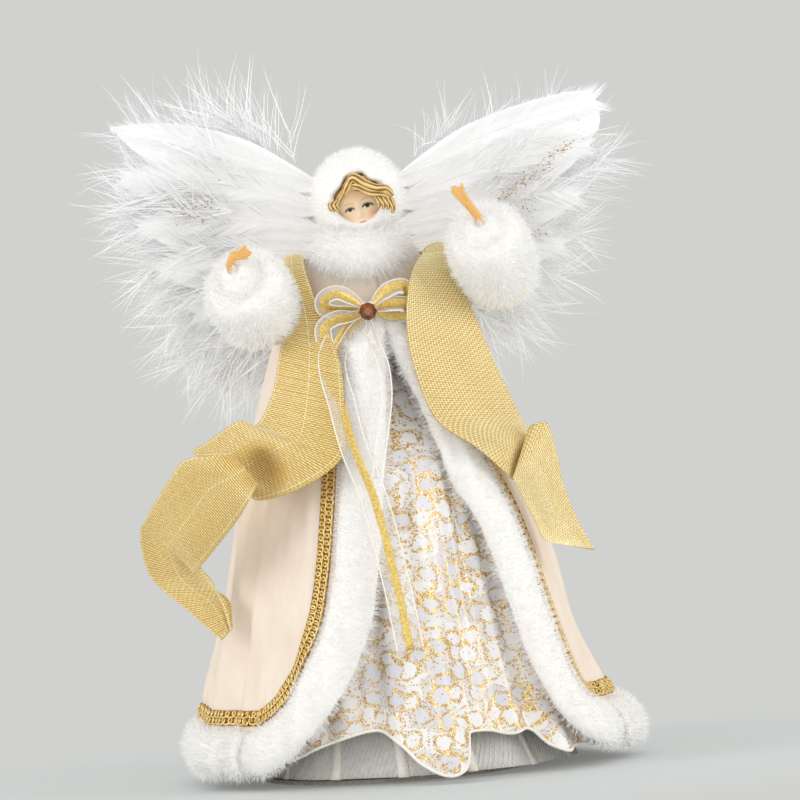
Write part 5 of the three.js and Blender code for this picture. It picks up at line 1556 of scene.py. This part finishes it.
# %% The quiff, the curls at the temples, and the locks behind, under the hood
SWEEPS = [
    ([(-4, -15.5, 252), (-1.2, -17.4, 254.6), (3.2, -18.8, 251.6), (8, -19.6, 249.4), (12.4, -19.6, 249),
      (15, -18.8, 246)], 2.2),
    ([(-3, -16.2, 251.4), (0.6, -18.2, 250.8), (5.4, -19.4, 248.2), (10.4, -19.8, 247.2),
      (13.6, -19.4, 245.4)], 1.7),
    ([(-0.5, -16, 254.8), (-3, -17.2, 252.8), (-4.8, -17.2, 250.2), (-6.4, -16.4, 247.6)], 1.5),
    ([(-0.8, -16, 252.6), (-2.8, -16.9, 251.2), (-4.6, -16.9, 249.2), (-6.2, -16.2, 247.2)], 1.0)]
for x, top, low in ((8.6, 247, 241.2), (10.6, 246.6, 240.6), (12.6, 246.2, 240.2), (14.4, 245.8, 238.6)):
    upper, lower = lerp(top, low, 0.35), lerp(top, low, 0.7)
    SWEEPS.append(([(x - 0.8, -18.4, top), (x, -19.8, upper), (x + 0.5, -19.6, lower), (x - 0.4, -18.2, low)],
                   1.15))
for x in (-9.4, -11.2):
    SWEEPS.append(([(x + 1, -17.2, 245), (x - 0.4, -18.4, 243.6), (x, -18.2, 242.2), (x + 1.2, -17, 241)],
                   1.3))
for places, thick in SWEEPS:
    locks.append(lock_along(route(places, LOCK_STEPS), thick, 5, 0.8))
for a in range(95, 266, 17):
    locks.append(lock([(a, 0.84, 0.6), (a + 4, 0.5, 1.2), (a - 3, 0.1, 1.3), (a + 3, -0.3, 0.9)], 2.5))

# %% A cap under the locks, and all of it as one casting
cap_rings, cap_tints = [], []
for level in np.linspace(0.02, 0.99, 16):
    ring = []
    for a in np.linspace(-180, 180, 90, endpoint=False):
        floor = 0.66 - 0.5 * smooth_step(10, 62, abs(a)) - 0.4 * smooth_step(90, 140, abs(a))
        ring.append(tilted(head_point(a, max(level, floor), 0.35 if level > floor else 0.02)))
        cap_tints.append(mix(HAIR_DARK, HAIR_MID, 0.55 + 0.45 * math.cos(a / 3)))
    cap_rings.append(ring)
pieces = []
for rings, tints in [(cap_rings, cap_tints)] + locks:
    pieces.append(rings_piece("hair_lock", rings, hair_paint))
    painted(pieces[-1], tints)
hair = join("hair_cast", pieces)
wear(hair, "head", "painted_hair", "hair")
print("hair:", len(locks), "locks")

# %% [markdown]
# ## The hands
# Small cast hands come out of the cuffs: a slim wrist, a palm, four fingers close together and a thumb. They
# could be drawn as one mesh, but tubes joined into one skin by a voxel remesh and smoothed, as clay would be,
# give the soft webs between the fingers.

# %% Hands
HAND_TAN, HAND_SHADE = linear("EEBE74"), linear("D4964A")
FINGER_SHARES, FINGER_APART = (0.86, 1.0, 0.96, 0.76), 0.95
SKIN_VOXEL = 0.28


def hand(side, arm):
    """A hand along its arm's last stations."""
    mouth = unit(arm["mouth"])
    centre = np.array(arm["cuff"])
    half = arm["length"] / 2
    wrist, palm, tip = (np.array(p, float) for p in arm["hand"])
    line = route([centre + mouth * 1.8, centre + mouth * 0.9 * half, wrist, palm], 30)
    forms = [rings_piece("wrist", tube_points(line, lambda t: 1.55 + 0.35 * t, 14, 0.8))]
    reach = tip - palm
    spread = np.cross(unit(reach), (0, -1, 0))
    for k, share in enumerate(FINGER_SHARES):
        off = (k - 1.5) * FINGER_APART
        start = palm - reach * 0.15 + spread * off * 0.8
        knuckle = palm + reach * 0.45 * share + spread * off * 1.1 + np.array((0, -0.5, 0))
        finish = palm + reach * share + spread * off * 1.25 + np.array((0, 0.5, 0))
        bent = route([start, knuckle, finish], 14)
        forms.append(rings_piece("finger", tube_points(bent, lambda t: 0.74 - 0.22 * t, 10)))
    thumb = np.array(arm["thumb"], float)
    bent = route([wrist, lerp(palm, thumb, 0.5) + np.array((0, -0.6, 0)), thumb], 12)
    forms.append(rings_piece("thumb", tube_points(bent, lambda t: 0.95 - 0.35 * t, 10)))
    made = join(f"hand_{side}_cast", forms)
    skin = made.modifiers.new("skin", "REMESH")
    skin.mode = "VOXEL"
    skin.voxel_size = SKIN_VOXEL * MM
    soft = made.modifiers.new("soft", "SMOOTH")
    soft.iterations = 4
    settle(made)
    made.data.materials.clear()
    made.data.materials.append(flesh)
    made.data.shade_smooth()
    # Painted shade: the hand is darker where it faces down and lighter where it faces up
    tone = []
    for v in made.data.vertices:
        shade = 0.5 + 0.5 * v.normal.z
        tone.append(mix(HAND_SHADE, HAND_TAN, 0.25 + 0.75 * shade))
    painted(made, tone)
    wear(made, f"{side}_arm", "painted_resin", f"hand_{side}")


hand("left", LEFT_ARM)
hand("right", RIGHT_ARM)

# %% [markdown]
# ## The wings
# Each wing is a card with five broad white feathers on its face and marabou, which is loose down on a shaft,
# fanned out behind it and between them. Pictures on flat cards would look right only from the front, so each
# feather is a thin leaf with fine barbs laid over it, and each marabou plume is a shaft whose long soft barbs
# stand apart and cling in tufts. Both come from the same tree with other numbers.

# %% Stems: the lines that barbs grow from, with how long the barbs are at each place
WING_ROOT = np.array((14.0, 226.0))


def stem(points, edges, reaches, line, reach):
    """Adds one line of points in millimetres, with its reach at each of them."""
    start = len(points)
    for k, p in enumerate(line):
        points.append(p)
        reaches.append(reach(k / (len(line) - 1)) * MM)
    edges += chain(start, len(line) - 1)


def plumes(name, points, edges, reaches, **inputs):
    """Grows barbs on stems."""
    piece = new_piece(name, points, edges=edges)
    layer = piece.data.attributes.new("reach", "FLOAT", "POINT")
    layer.data.foreach_set("value", reaches)
    return grow(piece, down_tree, Finish=down, **inputs)


# %% Flat feathers
FEATHER_TIPS = [(103, 280), (100, 258), (94, 237), (86, 217), (72, 199)]
FEATHER_WIDTH = 28
FEATHER_SHAPE = [(0, 0.12), (0.15, 0.5), (0.45, 1), (0.65, 0.95), (0.85, 0.55), (1, 0.02)]
BLUNT_TIP = (104, 277.5)
BLUNT_SHAPE = [(0, 0.12), (0.15, 0.5), (0.45, 1), (0.7, 1), (0.88, 0.92), (0.965, 0.72), (1, 0.2)]
UPPER_SHARE, LOWER_SHARE = 0.5, 1.25
FEATHER_BEND = 4
FEATHER_ROOT, ROOT_STEP = (14, 248), 9
FEATHER_FACE, FACE_STEP = 35.5, 0.9
SHAFT_START, SHAFT_END = 0.03, 0.99

for side, way in (("left", -1), ("right", 1)):
    for i, tip in enumerate(FEATHER_TIPS):
        root = np.array((FEATHER_ROOT[0], FEATHER_ROOT[1] - ROOT_STEP * i), float)
        blunt = side == "right" and i == 0
        tip = np.array(BLUNT_TIP if blunt else tip, float)
        shape = BLUNT_SHAPE if blunt else FEATHER_SHAPE
        length = np.linalg.norm(tip - root)
        along = (tip - root) / length
        beside = np.array((-along[1], along[0]))
        face = FEATHER_FACE - FACE_STEP * (i + 1)
        name = f"feather_{side}_{i + 1}"

        def vane(u, v):
            half = FEATHER_WIDTH / 2 * profile(shape, v) * (UPPER_SHARE if u > 0.5 else LOWER_SHARE)
            aside = FEATHER_BEND * math.sin(math.pi * v) + half * (2 * u - 1)
            spot = root + along * length * v + beside * aside
            camber = -0.8 * math.cos(math.pi * (u - 0.5)) * smooth_step(0, 0.3, v)
            wave = 0.25 * math.sin(9 * v + 5 * u + i)
            return (way * spot[0], face + camber + wave, spot[1])
        leaf = grid_piece(name + "_leaf", np.linspace(0, 1, 15), np.linspace(0, 1, 50), vane, down_leaf)
        thicken(leaf, 0.35, 0)
        outwards(leaf)
        points, edges, reaches = [], [], []
        shaft = [np.array(vane(0.5, v)) - (0, 0.35, 0) for v in np.linspace(SHAFT_START, SHAFT_END, 40)]
        stem(points, edges, reaches, shaft,
             lambda t: FEATHER_WIDTH / 2 * profile(shape, lerp(SHAFT_START, SHAFT_END, t)) + (6 if i else 2))
        barbs = plumes(name + "_barbs", points, edges, reaches, Barb=vane_barb, Spacing=0.6 * MM,
                       Angle=math.radians(30), Fluff=0.03, Clump=0.04, Lift=0.06, Shaft=0.3 * MM)
        wear(join(name + "_vane", [leaf, barbs]), f"{side}_wing", "feather", name)

# %% Marabou: three fans of plumes for each wing, from the card's edge outwards
MARABOU_REACH = [(-64, 82), (-37, 92), (-16, 94), (8, 100), (32, 112), (45, 100), (55, 84), (68, 64),
                 (80, 46)]
MARABOU_FANS = [("lower", -66, -17, 24), ("outer", -17, 31, 24), ("top", 31, 71, 14)]
BARB_REACH = {("top", "left"): (22, 30), ("top", "right"): (15, 20), ("outer", "left"): (23, 29),
              ("outer", "right"): (19, 24), ("lower", "left"): (21, 28), ("lower", "right"): (18, 24)}
RIGHT_TUFT = 0.17
PLUME_START, BEHIND, BETWEEN = 36, 37.2, 29.5
dice = np.random.default_rng(19)
for side, way in (("left", -1), ("right", 1)):
    for pad, first, last, count in MARABOU_FANS:
        points, edges, reaches = [], [], []
        for k in range(count):
            angle = lerp(first, last, (k + 0.5) / count) + dice.uniform(-2, 2)
            span = profile(MARABOU_REACH, angle)
            bend = dice.uniform(-5, 5)
            inner = PLUME_START + dice.uniform(-6, 8)
            outer = span * (dice.uniform(0.66, 0.82) - 0.03 * way)
            if way > 0:
                outer *= 1 + RIGHT_TUFT * math.exp(-((angle - 20) / 16) ** 2)
            depth = BEHIND + 0.22 * (k % 12) + dice.uniform(0, 1.5)
            if k % 3 == 0 and (pad != "top" or angle < 50):
                inner, outer, depth = inner + 8, outer - 14, BETWEEN + dice.uniform(-1, 1)
            elif pad == "top":
                outer *= 0.97 if way < 0 else 0.86
            line = []
            for t in np.linspace(0, 1, 14):
                a = math.radians(angle + bend * t * t)
                r = lerp(inner, outer, t)
                line.append((way * (WING_ROOT[0] + r * math.cos(a)), depth + 1.2 * math.sin(3 * t + k),
                             WING_ROOT[1] + r * math.sin(a)))
            stem(points, edges, reaches, line, lambda t: lerp(*BARB_REACH[pad, side], t))
        spacing = 2.0 if pad == "top" else 1.1
        name = f"marabou_{pad}_{side}"
        whole = plumes(name + "_plumes", points, edges, reaches, Barb=barb, Spacing=spacing * MM,
                       Angle=math.radians(26), Fluff=0.13, Clump=0.7, Lift=3.1, Shaft=0.22 * MM)
        wear(whole, f"{side}_wing", "feather", name)

# %% Gold flakes strewn on the feathers: a stripe, and loose groups
FLAKE_FRONT = 27.6
FLAKE_GROUPS = {"left": [((-78, 240), (-58, 246), 3.2, 70)],
                "right": [((60, 238), (92, 260), 1.5, 260), ((66, 233), (73, 236), 2.2, 60),
                          ((72, 221), (80, 224), 2.0, 34), ((84, 252), (98, 268), 3.0, 20)]}
flake = new_piece("flake", [(-500, 0, 0), (0, -400, 0), (500, 0, 0), (0, 400, 0)], [(0, 1, 2, 3)])
for side, groups in FLAKE_GROUPS.items():
    places = []
    for (x0, z0), (x1, z1), loose, count in groups:
        for t in dice.uniform(0, 1, count):
            places.append((lerp(x0, x1, t) + dice.normal(0, loose), FLAKE_FRONT + dice.uniform(-0.6, 0.6),
                           lerp(z0, z1, t) + dice.normal(0, loose)))
    flakes = grow(new_piece(f"wing_flakes_{side}", places), flake_tree, Flake=flake, Size=1.0 * MM,
                  Finish=glitter)
    wear(flakes, f"{side}_wing", "feather")
drop(flake)

# %% [markdown]
# ## Floor, backdrop and light
# The doll stands on pale grey paper in front of an even grey. The paper near it takes its shadow, and further
# out it fades into the grey that the camera sees behind, so no edge shows. Even near the doll a quarter of
# that grey glows on the paper, as painted light that lightens its shadow. The doll is lit by a white sky all
# round
# and three broad soft lamps: one at each side and a weaker one in front.

# %% Stage
BACK_GREY = "D1D2D0"
SHADOW_NEAR, SHADOW_FAR, LEAST_FADE = 0.14, 0.30, 0.25
PAPER_HALF, PAPER_DROP = 1500, 0.2


def seen_directly(tree):
    """1 for a ray that the camera, a gloss or a clear pane sends, and 0 for one that carries light."""
    path = put(tree, "ShaderNodeLightPath")
    either = put(tree, "ShaderNodeMath", {0: path.outputs["Is Camera Ray"], 1: path.outputs["Is Glossy Ray"]},
                 operation="MAXIMUM")
    return put(tree, "ShaderNodeMath", {0: either, 1: path.outputs["Is Transmission Ray"]},
               operation="MAXIMUM").outputs[0]


paper_grey, tree, shader = new_finish("pale grey paper", Roughness=0.9, Specular_IOR_Level=0.1)
mottle(tree, shader, "D6DAD9", "D3D7D6", 2.0)
place = put(tree, "ShaderNodeTexCoord").outputs["Object"]
away = put(tree, "ShaderNodeVectorMath", {0: place}, operation="LENGTH")
# A quarter of the grey glows even near the doll: painted light that lightens the shadow on the paper
fade = put(tree, "ShaderNodeMapRange",
           {"Value": away.outputs["Value"], "From Min": SHADOW_NEAR, "From Max": SHADOW_FAR,
            "To Min": LEAST_FADE}, interpolation_type="SMOOTHSTEP")
shown = put(tree, "ShaderNodeMath", {0: fade, 1: seen_directly(tree)}, operation="MULTIPLY")
glow = put(tree, "ShaderNodeEmission", {"Color": linear(BACK_GREY)})
both = put(tree, "ShaderNodeMixShader", {0: shown, 1: shader, 2: glow})
tree.links.new(both.outputs[0], tree.nodes["Material Output"].inputs["Surface"])
corners = [(x * PAPER_HALF, y * PAPER_HALF, -PAPER_DROP) for x, y in ((-1, -1), (1, -1), (1, 1), (-1, 1))]
paper = new_piece("paper", corners, [(0, 1, 2, 3)], paper_grey)

# %% Light
SKY_LIGHT = 0.78
LAMP_AIM = (0, 0, 150)
world = bpy.data.worlds.new("studio")
bpy.context.scene.world = world
world.use_nodes = True
sky = world.node_tree.nodes["Background"]
sky.inputs["Strength"].default_value = SKY_LIGHT
grey = put(world.node_tree, "ShaderNodeBackground", {"Color": linear(BACK_GREY)})
sky.inputs["Color"].default_value = linear("FFFFFF")
both = put(world.node_tree, "ShaderNodeMixShader", {0: seen_directly(world.node_tree), 1: sky, 2: grey})
world.node_tree.links.new(both.outputs[0], world.node_tree.nodes["World Output"].inputs["Surface"])


def lamp(name, place, size, power):
    """A soft square lamp at a place in millimetres, turned to the doll's middle."""
    light = bpy.data.lights.new(name, "AREA")
    light.size = size * MM
    light.energy = power
    made = bpy.data.objects.new(name, light)
    bpy.context.scene.collection.objects.link(made)
    spot = Vector(place) * MM
    away = (spot - Vector(LAMP_AIM) * MM).normalized()
    made.matrix_world = Matrix.Translation(spot) @ away.to_track_quat("Z", "Y").to_matrix().to_4x4()


lamp("key", (-1200, -600, 590), size=700, power=6.3)
lamp("fill", (1200, -600, 470), size=700, power=6.0)
lamp("front", (0, -1700, 220), size=900, power=3.9)
bpy.context.scene.view_settings.view_transform = "Standard"

# %% The blades that the trees used are removed
drop(strand, barb, vane_barb)
